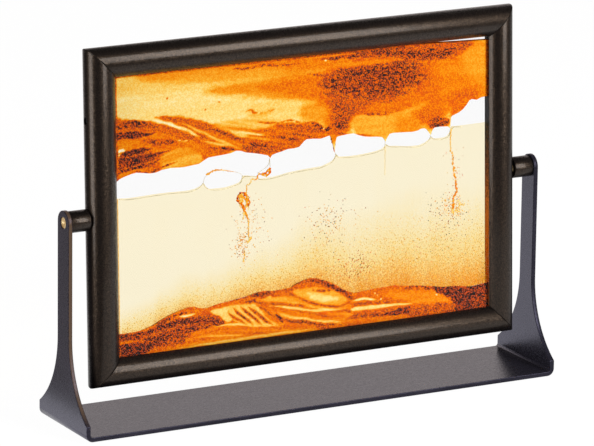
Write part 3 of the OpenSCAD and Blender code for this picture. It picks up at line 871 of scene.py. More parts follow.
@dataclass(frozen=True)
class PowderCoat(Finish):
    """Charcoal powder coat baked on sheet steel, which shows a satin sheen, fine pimples and rubbed streaks.

    On the left arm's edges a painted reflection of warm surroundings gives a bronze sheen, mixed into the
    coat's colour.

    Attributes:
        dark: Colour of the coat.
        rubbed: Colour where it is rubbed.
        streak: Length and width of a rubbed streak.
        rub: Size of a rubbed area.
        worn: Colour of the painted warm reflection on the left arm's edges.
        worn_from: Heights between which the painted reflection on the edges starts.
        pimple: Size of a pimple, drawn coarser than the real 0.2 mm so that it shows.
        pimple_depth: Depth of a pimple.
        rough: Least and greatest roughness of a pimple.
        sheen: Strength of its sheen on the base and on the arms' broad faces.
        sheared: Share of the sheen that the sheared front and rear edges keep.
        tint: Colour of the sheen.
        index: Refractive index of the coat.
    """

    dark: str = "1F1E26"
    rubbed: str = "2E2C36"
    streak: Point = (45.0, 1.3)
    rub: float = 24.0
    worn: str = "5C4A3A"
    worn_from: Point = (9.0, 16.0)
    pimple: float = 0.8
    pimple_depth: float = 0.06
    rough: Point = (0.25, 0.33)
    sheen: Point = (0.46, 1.0)
    sheared: float = 0.25
    tint: str = "DCD7FF"
    index: float = 1.52

    def coat(self, add: Adder, place: NodeSocket) -> Node:
        """Adds the colour of the coat, lighter where it is rubbed.

        Args:
            add: Adds a node to the material.
            place: Place on the piece.

        Returns:
            The colour.
        """
        along, across = (per_metre(size) for size in self.streak)
        stretched = add("Mapping", {"Vector": place, "Scale": (along, across, across)})
        streaks = add("TexNoise", {"Vector": stretched, "Scale": 1.0, "Detail": 2.0})
        areas = add("TexNoise", {"Vector": place, "Scale": per_metre(self.rub), "Detail": 3.0})
        rub = add("Math", {0: streaks, 1: areas}, operation="MULTIPLY")
        return add("ValToRGB", {"Fac": rub}, stops=((0.15, self.dark), (0.45, self.rubbed)))

    def wear(self, add: Adder, place: NodeSocket, side: Node) -> Node:
        """Adds where the painted warm reflection shows on the left arm's edges.

        Args:
            add: Adds a node to the material.
            place: Place on the piece.
            side: How far the surface faces to a side.

        Returns:
            Share of the painted reflection, from 0 to 1.
        """
        edge = add("MapRange", {"Value": side, "From": (0.35, 0.1)})
        spot = add("SeparateXYZ", {"Vector": place})
        low, high = (height * MM for height in self.worn_from)
        up = add("MapRange", {"Value": spot.outputs["Z"], "From": (low, high)})
        left = add("Math", {0: spot.outputs["X"], 1: 0.0}, operation="LESS_THAN")
        left_arm = add("Math", {0: up, 1: left}, operation="MULTIPLY")
        return add("Math", {0: edge, 1: left_arm}, operation="MULTIPLY")

    def shine(self, add: Adder, side: Node, front: Node) -> Node:
        """Adds the strength of the sheen, which is least on the sheared edges.

        Args:
            add: Adds a node to the material.
            side: How far the surface faces to a side.
            front: How far it faces to the front or rear.

        Returns:
            The strength.
        """
        broad = add("MapRange", {"Value": side, "From": (0.3, 0.8), "To": self.sheen})
        cut = add("MapRange", {"Value": front, "From": (0.7, 0.95), "To": (1.0, self.sheared)})
        return add("Math", {0: broad, 1: cut}, operation="MULTIPLY")

    def surface(self, add: Adder) -> Node:
        """Builds the powder coat's shader.

        Args:
            add: Adds a node to its material.

        Returns:
            The shader.
        """
        place = self.place(add)
        normal = add("SeparateXYZ", {"Vector": add("TexCoord").outputs["Normal"]})
        side = add("Math", {0: normal.outputs["X"]}, operation="ABSOLUTE")
        front = add("Math", {0: normal.outputs["Y"]}, operation="ABSOLUTE")
        # Painted bronze reflection on the left arm's edges, mixed into the coat's colour
        colour = add("Mix", {
            0: self.wear(add, place, side), 6: self.coat(add, place), 7: linear(self.worn),
        }, data_type="RGBA")
        pimples, chance = self.cells(add, self.pimple)
        rough = add("MapRange", {"Value": chance, "To": self.rough})
        bump = add("Bump", {
            "Height": pimples.outputs["Distance"], "Strength": 0.2, "Distance": self.pimple_depth * MM,
        })
        return add("BsdfPrincipled", {
            "Base Color": colour.outputs[2], "Roughness": rough, "Normal": bump, "IOR": self.index,
            "Specular IOR Level": self.shine(add, side, front), "Specular Tint": linear(self.tint),
        })


@dataclass(frozen=True)
class PearlLacquer(Finish):
    """Brown-black lacquer with bronze pearl on extruded mouldings, which sparkles in its highlights.

    Attributes:
        lacquer: Colours of the lacquer, from dark to light.
        pearl: Colour that the pearl gives its highlights.
        flake_size: Size of a flake, drawn coarser than the real 0.1 mm so that it shows.
        flake_tilt: How far the flakes lie askew.
        shine: Least and greatest strength of a flake's shine.
        rough: Roughness of the pearl.
        coat: Weight of the clear coat.
        coat_rough: Roughness of the clear coat.
    """

    lacquer: tuple[str, str] = ("0B0A0A", "191514")
    pearl: str = "E0BEA0"
    flake_size: float = 0.45
    flake_tilt: float = 0.16
    shine: Point = (0.22, 0.66)
    rough: float = 0.36
    coat: float = 0.2
    coat_rough: float = 0.16

    def surface(self, add: Adder) -> Node:
        """Builds the lacquer's shader.

        Args:
            add: Adds a node to its material.

        Returns:
            The shader.
        """
        flakes, chance = self.cells(add, self.flake_size)
        colour = add("ValToRGB", {"Fac": chance}, stops=tuple(enumerate(self.lacquer)))
        askew = add("VectorMath", {0: flakes.outputs["Color"], 1: (0.5, 0.5, 0.5)}, operation="SUBTRACT")
        tilt = add("VectorMath", {0: askew, "Scale": self.flake_tilt}, operation="SCALE")
        facing = add("NewGeometry").outputs["Normal"]
        tilted = add("VectorMath", {0: facing, 1: tilt}, operation="ADD")
        normal = add("VectorMath", {0: tilted}, operation="NORMALIZE")
        shine = add("MapRange", {"Value": chance.outputs[1], "To": self.shine})
        return add("BsdfPrincipled", {
            "Base Color": colour, "Roughness": self.rough, "Normal": normal, "Specular IOR Level": shine,
            "Specular Tint": linear(self.pearl), "Coat Weight": self.coat, "Coat Roughness": self.coat_rough,
        })


@dataclass(frozen=True)
class Mottled(Finish):
    """A surface whose colour and roughness change from spot to spot, with fine marks in it.

    Attributes:
        colours: Colours of its dark and of its light spots.
        turns: Shares of the mottling at which it has those colours.
        spot: Size of a spot.
        rough: Roughness of its dark and of its light spots.
        mark: Size of a mark.
        mark_depth: Depth of a mark.
        relief: Strength of the marks.
        mark_detail: How far its marks are broken up.
        rough_turns: Shares of the mottling at which it is that rough.
        metal: 1 for a bare metal, or else 0.
    """

    colours: tuple[str, str]
    turns: Point
    spot: float
    rough: Point
    mark: float
    mark_depth: float
    relief: float
    mark_detail: float = 2.0
    rough_turns: Point = (0.0, 1.0)
    metal: float = 0.0

    def surface(self, add: Adder) -> Node:
        """Builds the mottled shader.

        Args:
            add: Adds a node to its material.

        Returns:
            The shader.
        """
        place = self.place(add)
        spots = add("TexNoise", {"Vector": place, "Scale": per_metre(self.spot), "Detail": 3.0})
        colour = add("ValToRGB", {"Fac": spots}, stops=tuple(zip(self.turns, self.colours)))
        rough = add("MapRange", {"Value": spots, "From": self.rough_turns, "To": self.rough})
        marks = add("TexNoise", {"Vector": place, "Scale": per_metre(self.mark), "Detail": self.mark_detail})
        bump = add("Bump", {"Height": marks, "Strength": self.relief, "Distance": self.mark_depth * MM})
        return add("BsdfPrincipled", {
            "Base Color": colour, "Metallic": self.metal, "Roughness": rough, "Normal": bump,
        })


@dataclass(frozen=True)
class ZincPlate(Finish):
    """Zinc-plated pressed steel, which shows a dull grey shine with faint spangle.

    Attributes:
        colours: Colours of the darkest and of the lightest spangles.
        spangle: Size of a spangle.
        rough: Least and greatest roughness of a spangle.
    """

    colours: tuple[str, str] = ("9A9EA3", "C2C5C8")
    spangle: float = 1.5
    rough: Point = (0.32, 0.48)

    def surface(self, add: Adder) -> Node:
        """Builds the zinc's shader.

        Args:
            add: Adds a node to its material.

        Returns:
            The shader.
        """
        _, chance = self.cells(add, self.spangle)
        colour = add("ValToRGB", {"Fac": chance}, stops=tuple(enumerate(self.colours)))
        rough = add("MapRange", {"Value": chance.outputs[1], "To": self.rough})
        return add("BsdfPrincipled", {"Base Color": colour, "Metallic": 1.0, "Roughness": rough})


@dataclass(frozen=True)
class SandyRubber(Finish):
    """Black rubber strip in the cell, which shows the orange grains that cling to its lower part.

    Attributes:
        clean: Colour of the bare strip.
        clinging: Colours of the grains that cling to it.
        grain: Size of a grain, drawn coarser than the real 0.2 mm so that it shows.
        bare_above: Height over the pivot from which the strip is bare.
        full_below: Height over the pivot below which grains cover it.
        rough: Roughness of the bare and of the covered strip.
    """

    clean: str = "100C0B"
    clinging: tuple[str, str] = ("84451F", "FF9C55")
    grain: float = 0.7
    bare_above: float = 30.0
    full_below: float = -34.0
    rough: Point = (0.5, 0.9)

    def surface(self, add: Adder) -> Node:
        """Builds the sandy rubber's shader.

        Args:
            add: Adds a node to its material.

        Returns:
            The shader.
        """
        height = add("SeparateXYZ", {"Vector": self.place(add)}).outputs["Z"]
        dust = add("MapRange", {
            "Value": height, "To": (1.0, 0.0),
            "From": (PIVOT.z + self.full_below * MM, PIVOT.z + self.bare_above * MM),
        })
        _, chance = self.cells(add, self.grain)
        cover = add("Math", {0: chance, 1: 0.35, 2: dust}, operation="MULTIPLY_ADD")
        colour = add("ValToRGB", {"Fac": cover}, stops=(
            (0.3, self.clean), (0.65, self.clinging[0]), (1.0, self.clinging[1]),
        ))
        rough = add("MapRange", {"Value": dust, "To": self.rough})
        return add("BsdfPrincipled", {"Base Color": colour, "Roughness": rough})


@dataclass(frozen=True)
class PictureGlass(Finish):
    """Thin low-glare float glass, which shows only faint reflections and a breath of smears.

    Attributes:
        tint: Colour that light takes on in it.
        glare: Refractive index of its coated surface.
        smear: Size of a smear.
        rough: Roughness of clean and of smeared glass.
    """

    tint: str = "FEFEFE"
    glare: float = 1.14
    smear: float = 18.0
    rough: Point = (0.02, 0.12)

    def surface(self, add: Adder) -> Node:
        """Builds the glass's shader, which reflects at its outer faces only.

        Args:
            add: Adds a node to its material.

        Returns:
            The shader.
        """
        smears = add("TexNoise", {"Vector": self.place(add), "Scale": per_metre(self.smear), "Detail": 3.0})
        rough = add("MapRange", {"Value": smears, "To": self.rough})
        clear = add("BsdfTransparent", {"Color": linear(self.tint)})
        shine = add("BsdfGlossy", {"Roughness": rough})
        glare = add("Fresnel", {"IOR": self.glare})
        inner = add("NewGeometry").outputs["Backfacing"]
        outer = add("Math", {0: glare, 1: inner}, operation="SUBTRACT", use_clamp=True)
        return add("MixShader", {0: outer, 1: clear, 2: shine})


# Colours of the sand from cream, where it lies thin, to black
SAND_COLOURS = (
    (0.0, "FBF4E0"), (0.12, "FBEDC4"), (0.25, "FADC82"), (0.38, "F6B83A"), (0.5, "F2900E"), (0.62, "EA6C0A"),
    (0.74, "DB5416"), (0.84, "AE4424"), (0.92, "703A2C"), (1.0, "302624"),
)


@dataclass(frozen=True)
class DyedSand(Finish):
    """Dyed quartz sand behind glass, which shows matt grains whose colours differ most in the dark layers.

    Attributes:
        grain: Size of a grain, drawn coarser than the real 0.2 mm so that it shows.
        grain_depth: How far the grains stand out.
        clump: Size of a clump of grains.
        clumping: How far the clumps differ, against the grains.
        mean: Mean of a grain's and its clump's chances together.
        spread: How far the grains differ in the pale and in the dark layers.
        spread_tones: Tones between which the grains come to differ more.
        rough: Roughness of the grains.
    """

    grain: float = 0.55
    grain_depth: float = 0.1
    clump: float = 2.2
    clumping: float = 0.4
    mean: float = 0.7
    spread: Point = (0.09, 0.44)
    spread_tones: Point = (0.5, 0.88)
    rough: float = 0.9

    def grain_colour(self, add: Adder, tone: Node | NodeSocket, chance: Node) -> Node:
        """Adds the colour of each grain.

        Args:
            add: Adds a node to the material.
            tone: Tone of the layer.
            chance: Random numbers of the grain, of which the first is used.

        Returns:
            Colour of the grain.
        """
        clumps = add("TexNoise", {"Vector": self.place(add), "Scale": per_metre(self.clump), "Detail": 2.0})
        sharp = add("MapRange", {"Value": chance, "From": (0.1, 0.9)}, interpolation_type="SMOOTHSTEP")
        mixed = add("Math", {0: clumps, 1: self.clumping, 2: sharp}, operation="MULTIPLY_ADD")
        centred = add("Math", {0: mixed, 1: self.mean}, operation="SUBTRACT")
        spread = add("MapRange", {"Value": tone, "From": self.spread_tones, "To": self.spread})
        grain_tone = add("Math", {0: centred, 1: spread, 2: tone}, operation="MULTIPLY_ADD")
        return add("ValToRGB", {"Fac": grain_tone}, stops=SAND_COLOURS)

    def surface(self, add: Adder) -> Node:
        """Builds the sand's shader.

        Args:
            add: Adds a node to its material.

        Returns:
            The shader.
        """
        tone = add("Attribute", attribute_name=TONE).outputs["Fac"]
        _, chance = self.cells(add, self.grain)
        bump = add("Bump", {
            "Height": chance.outputs[1], "Strength": 0.12, "Distance": self.grain_depth * MM,
        })
        return add("BsdfPrincipled", {
            "Base Color": self.grain_colour(add, tone, chance), "Roughness": self.rough,
            "Specular IOR Level": 0.0, "Normal": bump,
        })


@dataclass(frozen=True)
class HazyLiquid(DyedSand):
    """Clear cream liquid in which grains hang, more and more towards the dunes.

    Attributes:
        clear: Colours that light takes on at each face of the liquid, from clear to thick.
        uneven: Least and greatest share of the haze at a grain.
        dotted: Chances between which a grain shows as a dot.
        dot: How much thicker the haze is at a dot.
        dots_from: Haze between which the dots come to show.
        covered: Haze between which the grains come to hide the liquid.
        cover: Greatest share of the liquid that grains hide.
        tones: Tone of the hanging grains where the liquid is clear, and how much darker they get.
    """

    clear: tuple[str, str, str] = ("FFFAEA", "FEEFC2", "FACE82")
    uneven: Point = (0.65, 1.25)
    dotted: Point = (0.88, 0.98)
    dot: float = 0.7
    dots_from: Point = (0.02, 0.4)
    covered: Point = (0.5, 1.3)
    cover: float = 0.6
    tones: Point = (0.16, 0.3)

    def haze(self, add: Adder, thick: NodeSocket, chance: Node) -> Node:
        """Adds how thick the haze shows at each grain.

        Args:
            add: Adds a node to the material.
            thick: Thickness of the haze.
            chance: Random numbers of the grain, of which the last two are used.

        Returns:
            The haze that shows.
        """
        even = add("MapRange", {"Value": chance.outputs[2], "To": self.uneven})
        dots = add("MapRange", {"Value": chance.outputs[1], "From": self.dotted, "To": (0.0, self.dot)})
        hung = add("MapRange", {"Value": thick, "From": self.dots_from})
        loose = add("Math", {0: dots, 1: hung}, operation="MULTIPLY")
        return add("Math", {0: even, 1: thick, 2: loose}, operation="MULTIPLY_ADD")

    def surface(self, add: Adder) -> Node:
        """Builds the liquid's shader.

        Args:
            add: Adds a node to its material.

        Returns:
            The shader.
        """
        thick = add("Attribute", attribute_name=TONE).outputs["Fac"]
        _, chance = self.cells(add, self.grain)
        seen = self.haze(add, thick, chance)
        tint = add("ValToRGB", {"Fac": seen}, stops=tuple(zip((0.0, 0.45, 1.0), self.clear)))
        clear = add("BsdfTransparent", {"Color": tint})
        least, more = self.tones
        tone = add("Math", {0: thick, 1: more, 2: least}, operation="MULTIPLY_ADD")
        sandy = add("BsdfPrincipled", {
            "Base Color": self.grain_colour(add, tone, chance), "Roughness": self.rough,
            "Specular IOR Level": 0.0,
        })
        cover = add("MapRange", {"Value": seen, "From": self.covered, "To": (0.0, self.cover)})
        return add("MixShader", {0: cover, 1: clear, 2: sandy})


@dataclass(frozen=True)
class BubbleRim(Finish):
    """Edge of the liquid round a bubble, drawn as a thin olive line whose colour paints in the light that
    the edge bends.

    Attributes:
        colours: Darker and lighter colour of the painted line.
        change: Length over which it changes.
        rough: Its roughness.
    """

    colours: tuple[str, str] = ("B4A67C", "F0E6C6")
    change: float = 6.0
    rough: float = 0.3

    def surface(self, add: Adder) -> Node:
        """Builds the rim's shader.

        Args:
            add: Adds a node to its material.

        Returns:
            The shader.
        """
        along = add("TexNoise", {"Vector": self.place(add), "Scale": per_metre(self.change)})
        colour = add("ValToRGB", {"Fac": along}, stops=tuple(zip((0.35, 0.65), self.colours)))
        return add("BsdfPrincipled", {"Base Color": colour, "Roughness": self.rough})


@dataclass(frozen=True)
class PaperSweep(Finish):
    """White background paper, which the camera sees paler than its light so that shadows stay faint.

    Attributes:
        paper: Colours of the paper.
        fibre: Size of its faint mottling.
        glow: Share of plain white that the camera sees.
    """

    paper: tuple[str, str] = ("F2F2F2", "F6F6F6")
    fibre: float = 30.0
    glow: float = 0.93

    def surface(self, add: Adder) -> Node:
        """Builds the paper's shader.

        Args:
            add: Adds a node to its material.

        Returns:
            The shader.
        """
        fibres = add("TexNoise", {"Vector": self.place(add), "Scale": per_metre(self.fibre)})
        colour = add("ValToRGB", {"Fac": fibres}, stops=tuple(zip((0.3, 0.7), self.paper)))
        matt = add("BsdfDiffuse", {"Color": colour})
        white = add("Emission", {"Color": linear("FFFFFF"), "Strength": WHITE})
        ray = add("LightPath").outputs
        through = add("Math", {0: ray["Is Camera Ray"], 1: ray["Is Transmission Ray"]}, operation="MAXIMUM")
        seen = add("Math", {0: through, 1: ray["Is Glossy Ray"]}, operation="MAXIMUM")
        share = add("Math", {0: seen, 1: self.glow}, operation="MULTIPLY")
        return add("MixShader", {0: share, 1: matt, 2: white})


POWDER_COAT = PowderCoat("powder_coated_sheet_steel")
PEARL_LACQUER = PearlLacquer("pearl_lacquered_moulding")
# Satin turned brass, which shows a pale gold and faint tool marks
TURNED_BRASS = Mottled(
    "turned_brass", ("D0A050", "FFE9B8"), (0.35, 0.55), spot=2.0, rough=(0.8, 0.6), rough_turns=(0.3, 0.7),
    mark=0.25, mark_depth=0.02, relief=0.15, metal=1.0,
)
ZINC_PLATE = ZincPlate("zinc_plated_steel")
# Black moulded rubber, which shows a dull and slightly dusty grain
PAD_RUBBER = Mottled(
    "moulded_rubber", ("131212", "242322"), (0.35, 0.75), spot=0.6, rough=(0.65, 0.85),
    mark=0.6, mark_detail=3.0, mark_depth=0.05, relief=0.3,
)
SANDY_RUBBER = SandyRubber("rubber_strip_with_clinging_sand")
PICTURE_GLASS = PictureGlass("low_glare_float_glass")
DYED_SAND = DyedSand("dyed_quartz_sand")
HAZY_LIQUID = HazyLiquid("cream_liquid_with_hanging_sand")
BUBBLE_RIM = BubbleRim("liquid_edge")
PAPER_SWEEP = PaperSweep("white_background_paper")


# Finished pieces


def new_object(name: str, data: ID) -> Object:
    """Adds an object to the scene.

    Args:
        name: Its name.
        data: Its mesh, curve, lamp or camera.

    Returns:
        The object.
    """
    made = bpy.data.objects.new(name, data)
    bpy.context.scene.collection.objects.link(made)
    return made


def worked_out(holder: Object) -> Mesh:
    """Gives an object's mesh once its modifiers or its bevel are worked out."""
    graph = bpy.context.evaluated_depsgraph_get()
    return bpy.data.meshes.new_from_object(holder.evaluated_get(graph))


def new_points(made: dict[str, list], part: str = "geom") -> list[BMVert]:
    """Gives the points in one part of what an operator made."""
    return [item for item in made[part] if isinstance(item, BMVert)]


def add_piece(
    name: str,
    bm: BMesh,
    finish: Finish,
    body: Body,
    replaced: Iterable[str] = (),
    place: Matrix = Matrix.Identity(4),
    flat_faces: Callable[[MeshPolygon], bool] | None = None,
) -> Object:
    """Turns a modelled mesh into a dressed piece of the part.

    Args:
        name: Name of the piece.
        bm: Its mesh in millimetres, which is freed.
        finish: Its finish.
        body: Body that it rides on.
        replaced: CAD nodes that it stands for.
        place: Where the mesh goes, in metres.
        flat_faces: Picks the faces that aren't shaded smooth.

    Returns:
        The piece.
    """
    bm.transform(place @ Matrix.Scale(MM, 4))
    mesh = bpy.data.meshes.new(name)
    bm.to_mesh(mesh)
    bm.free()
    mesh.shade_smooth()
    mesh.set_sharp_from_angle(angle=SHARP_ANGLE)
    if flat_faces is not None:
        for face in mesh.polygons:
            face.use_smooth = not flat_faces(face)
    mesh.materials.append(finish.material())
    piece = new_object(name, mesh)
    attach(piece, body.value)
    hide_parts(*replaced)
    log.info("%s: %d faces, %s, on the %s", name, len(mesh.polygons), finish.name, body.value)
    return piece


def dress_node(node: str, finish: Finish) -> None:
    """Gives a CAD node a finish.

    Args:
        node: Name of the node.
        finish: Its finish.
    """
    mesh = frame["nodes"][node].data
    if not mesh.materials:
        mesh.materials.append(finish.material())
    for i in range(len(mesh.materials)):
        mesh.materials[i] = finish.material()
    log.info("%s: CAD node, %s", node, finish.name)


def turned(profile: Sequence[Point], closed: bool = False, steps: int = 56) -> BMesh:
    """Turns a profile about the X axis.

    Args:
        profile: Points along the axis and from it.
        closed: Whether the profile returns to its start, as for a ring.
        steps: Faces round the axis.

    Returns:
        The turned mesh.
    """
    bm = bmesh.new()
    points = [bm.verts.new((along, 0.0, radius)) for along, radius in profile]
    pairs = list(zip(points, points[1:]))
    if closed:
        pairs.append((points[-1], points[0]))
    edges = [bm.edges.new(pair) for pair in pairs]
    bmesh.ops.spin(bm, geom=points + edges, cent=(0, 0, 0), axis=(1, 0, 0), angle=2 * math.pi, steps=steps,
                   use_merge=True)
    bmesh.ops.remove_doubles(bm, verts=bm.verts, dist=NEAR)
    bmesh.ops.recalc_face_normals(bm, faces=bm.faces)
    return bm


def cut_with(piece: Object, cutter: BMesh, place: Matrix) -> None:
    """Cuts a shape out of a finished piece.

    Args:
        piece: Piece that is cut.
        cutter: Shape in millimetres, which is freed.
        place: Where the shape goes, in metres.
    """
    cutter.transform(place @ Matrix.Scale(MM, 4))
    mesh = bpy.data.meshes.new("cutter")
    cutter.to_mesh(mesh)
    cutter.free()
    tool = new_object("cutter", mesh)
    step = piece.modifiers.new("cut", "BOOLEAN")
    step.operation = "DIFFERENCE"
    step.solver = "EXACT"
    step.object = tool
    cut = worked_out(piece)
    piece.modifiers.clear()
    piece.data = cut
    bpy.data.objects.remove(tool)


def box_mm(node: str) -> tuple[Vector, Vector]:
    """Gives a CAD node's lowest and highest corners in millimetres."""
    low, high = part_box(node)
    return low / MM, high / MM


# The stand


@dataclass
class Stand:
    """Bracket bent from one sheet, with four pads under it.

    Attributes:
        sheet: Thickness of the sheet.
        fold: Inner radius of its folds.
        flare: Radius of the arms' flares.
        flare_foot: Height of the straight edge under a flare, over the base's top.
        hole: Radius of the pin hole.
        edge: Size of the rounded edges.
        pad_edge: Size of a pad's rounded edge.
        flare_steps: Edges along a flare.
        head_steps: Edges round the head of an arm.
        fold_steps: Faces round a fold.
    """

    sheet: float = 2.5
    fold: float = 1.5
    flare: float = 50.0
    flare_foot: float = 6.0
    hole: float = 3.08
    edge: float = 0.35
    pad_edge: float = 0.3
    flare_steps: int = 18
    head_steps: int = 28
    fold_steps: int = 10

    def arm_face(self) -> BMesh:
        """Draws the outer face of the right arm.

        Returns:
            Mesh of the flat face with its pin hole.
        """
        low, high = box_mm("stand_bracket")
        pivot = PIVOT.z / MM
        half_arm = high.z - pivot
        half_foot = high.y
        base_top = low.z + self.sheet
        flare_bottom = base_top + self.flare_foot
        swing = half_arm + self.flare
        flare_top = flare_bottom + math.sqrt(self.flare**2 - (swing - half_foot) ** 2)
        opening = math.asin((flare_top - flare_bottom) / self.flare)
        bm = bmesh.new()
        first = bm.verts.new((high.x, half_foot, base_top + self.fold))
        tip = self.reach(bm, first, flare_bottom)
        tip = self.sweep(bm, tip, (high.x, swing, flare_top), -opening, self.flare_steps)
        tip = self.reach(bm, tip, pivot)
        tip = self.sweep(bm, tip, (high.x, 0.0, pivot), math.pi, self.head_steps)
        tip = self.reach(bm, tip, flare_top)
        tip = self.sweep(bm, tip, (high.x, -swing, flare_top), -opening, self.flare_steps)
        tip = self.reach(bm, tip, base_top + self.fold)
        bm.edges.new((tip, first))
        turn = Matrix.Translation((high.x, 0.0, pivot)) @ Matrix.Rotation(math.pi / 2, 4, "Y")
        bmesh.ops.create_circle(bm, segments=HOLE_STEPS, radius=self.hole, matrix=turn)
        bmesh.ops.triangle_fill(bm, use_beauty=True, edges=bm.edges, normal=(1, 0, 0))
        return bm

    @staticmethod
    def reach(bm: BMesh, tip: BMVert, height: float) -> BMVert:
        """Draws a straight edge up or down.

        Args:
            bm: Mesh that gets the edge.
            tip: Start of the edge.
            height: Height of its end.

        Returns:
            End of the edge.
        """
        drawn = bmesh.ops.extrude_vert_indiv(bm, verts=[tip])["verts"][0]
        drawn.co.z = height
        return drawn

    @staticmethod
    def sweep(
        bm: BMesh, tip: BMVert, centre: tuple[float, float, float], angle: float, steps: int
    ) -> BMVert:
        """Draws an arc.

        Args:
            bm: Mesh that gets the arc.
            tip: Start of the arc.
            centre: Its centre.
            angle: Its angle about the X axis.
            steps: Its edges.

        Returns:
            End of the arc.
        """
        drawn = bmesh.ops.spin(bm, geom=[tip], cent=centre, axis=(1, 0, 0), angle=angle, steps=steps)
        return new_points(drawn, "geom_last")[0]

    def bracket(self) -> BMesh:
        """Bends the arms and the base from one sheet.

        Returns:
            Mesh of the bracket.
        """
        low, high = box_mm("stand_bracket")
        fold_height = low.z + self.sheet + self.fold
        bm = self.arm_face()
        drawn = bmesh.ops.extrude_face_region(bm, geom=bm.faces[:])
        bmesh.ops.translate(bm, verts=new_points(drawn), vec=(-self.sheet, 0, 0))
        bmesh.ops.recalc_face_normals(bm, faces=bm.faces)
        foot = [f for f in bm.faces if all(abs(v.co.z - fold_height) < NEAR for v in f.verts)]
        centre = (high.x - self.sheet - self.fold, 0.0, fold_height)
        bent = bmesh.ops.spin(bm, geom=foot, cent=centre, axis=(0, 1, 0), angle=math.pi / 2,
                              steps=self.fold_steps)
        end = [f for f in bent["geom_last"] if isinstance(f, BMFace)]
        drawn = bmesh.ops.extrude_face_region(bm, geom=end)
        for vert in new_points(drawn):
            vert.co.x = 0.0
        hidden = [f for f in bm.faces if all(abs(v.co.x) < NEAR for v in f.verts)]
        hidden += [f for f in foot + end if f.is_valid]
        bmesh.ops.delete(bm, geom=list(set(hidden)), context="FACES_ONLY")
        bmesh.ops.mirror(bm, geom=bm.verts[:] + bm.edges[:] + bm.faces[:], axis="X", merge_dist=NEAR)
        bmesh.ops.remove_doubles(bm, verts=bm.verts, dist=NEAR)
        bmesh.ops.recalc_face_normals(bm, faces=bm.faces)
        corners = [e for e in bm.edges if len(e.link_faces) == 2 and e.calc_face_angle() > CORNER_ANGLE]
        bmesh.ops.bevel(bm, geom=corners, offset=self.edge, segments=2, profile=0.5, affect="EDGES",
                        material=-1, clamp_overlap=True)
        return bm

    def pad(self, node: str) -> BMesh:
        """Turns a foot pad.

        Args:
            node: CAD node that the pad replaces.

        Returns:
            Mesh of the pad.
        """
        low, high = box_mm(node)
        radius = (high.x - low.x) / 2
        edge, middle = self.pad_edge, ROUNDING * self.pad_edge
        bm = turned((
            (low.z, 0.0), (low.z, radius - edge), (low.z + middle, radius - middle),
            (low.z + edge, radius), (high.z, radius), (high.z, 0.0),
        ), steps=HOLE_STEPS)
        bm.transform(Matrix.Rotation(-math.pi / 2, 4, "Y"))
        bmesh.ops.translate(bm, verts=bm.verts, vec=((low.x + high.x) / 2, (low.y + high.y) / 2, 0))
        return bm

    def build(self) -> None:
        """Builds and dresses the bracket and its pads."""
        add_piece("bent_bracket", self.bracket(), POWDER_COAT, Body.STAND,
                  ["stand_bracket"], flat_faces=lambda face: max(map(abs, face.normal)) > SQUARE)
        for depth in ("front", "rear"):
            for side in ("left", "right"):
                node = f"foot_pad_{depth}_{side}"
                add_piece(f"rubber_{node}", self.pad(node), PAD_RUBBER, Body.STAND, [node])


# The frame of round bars


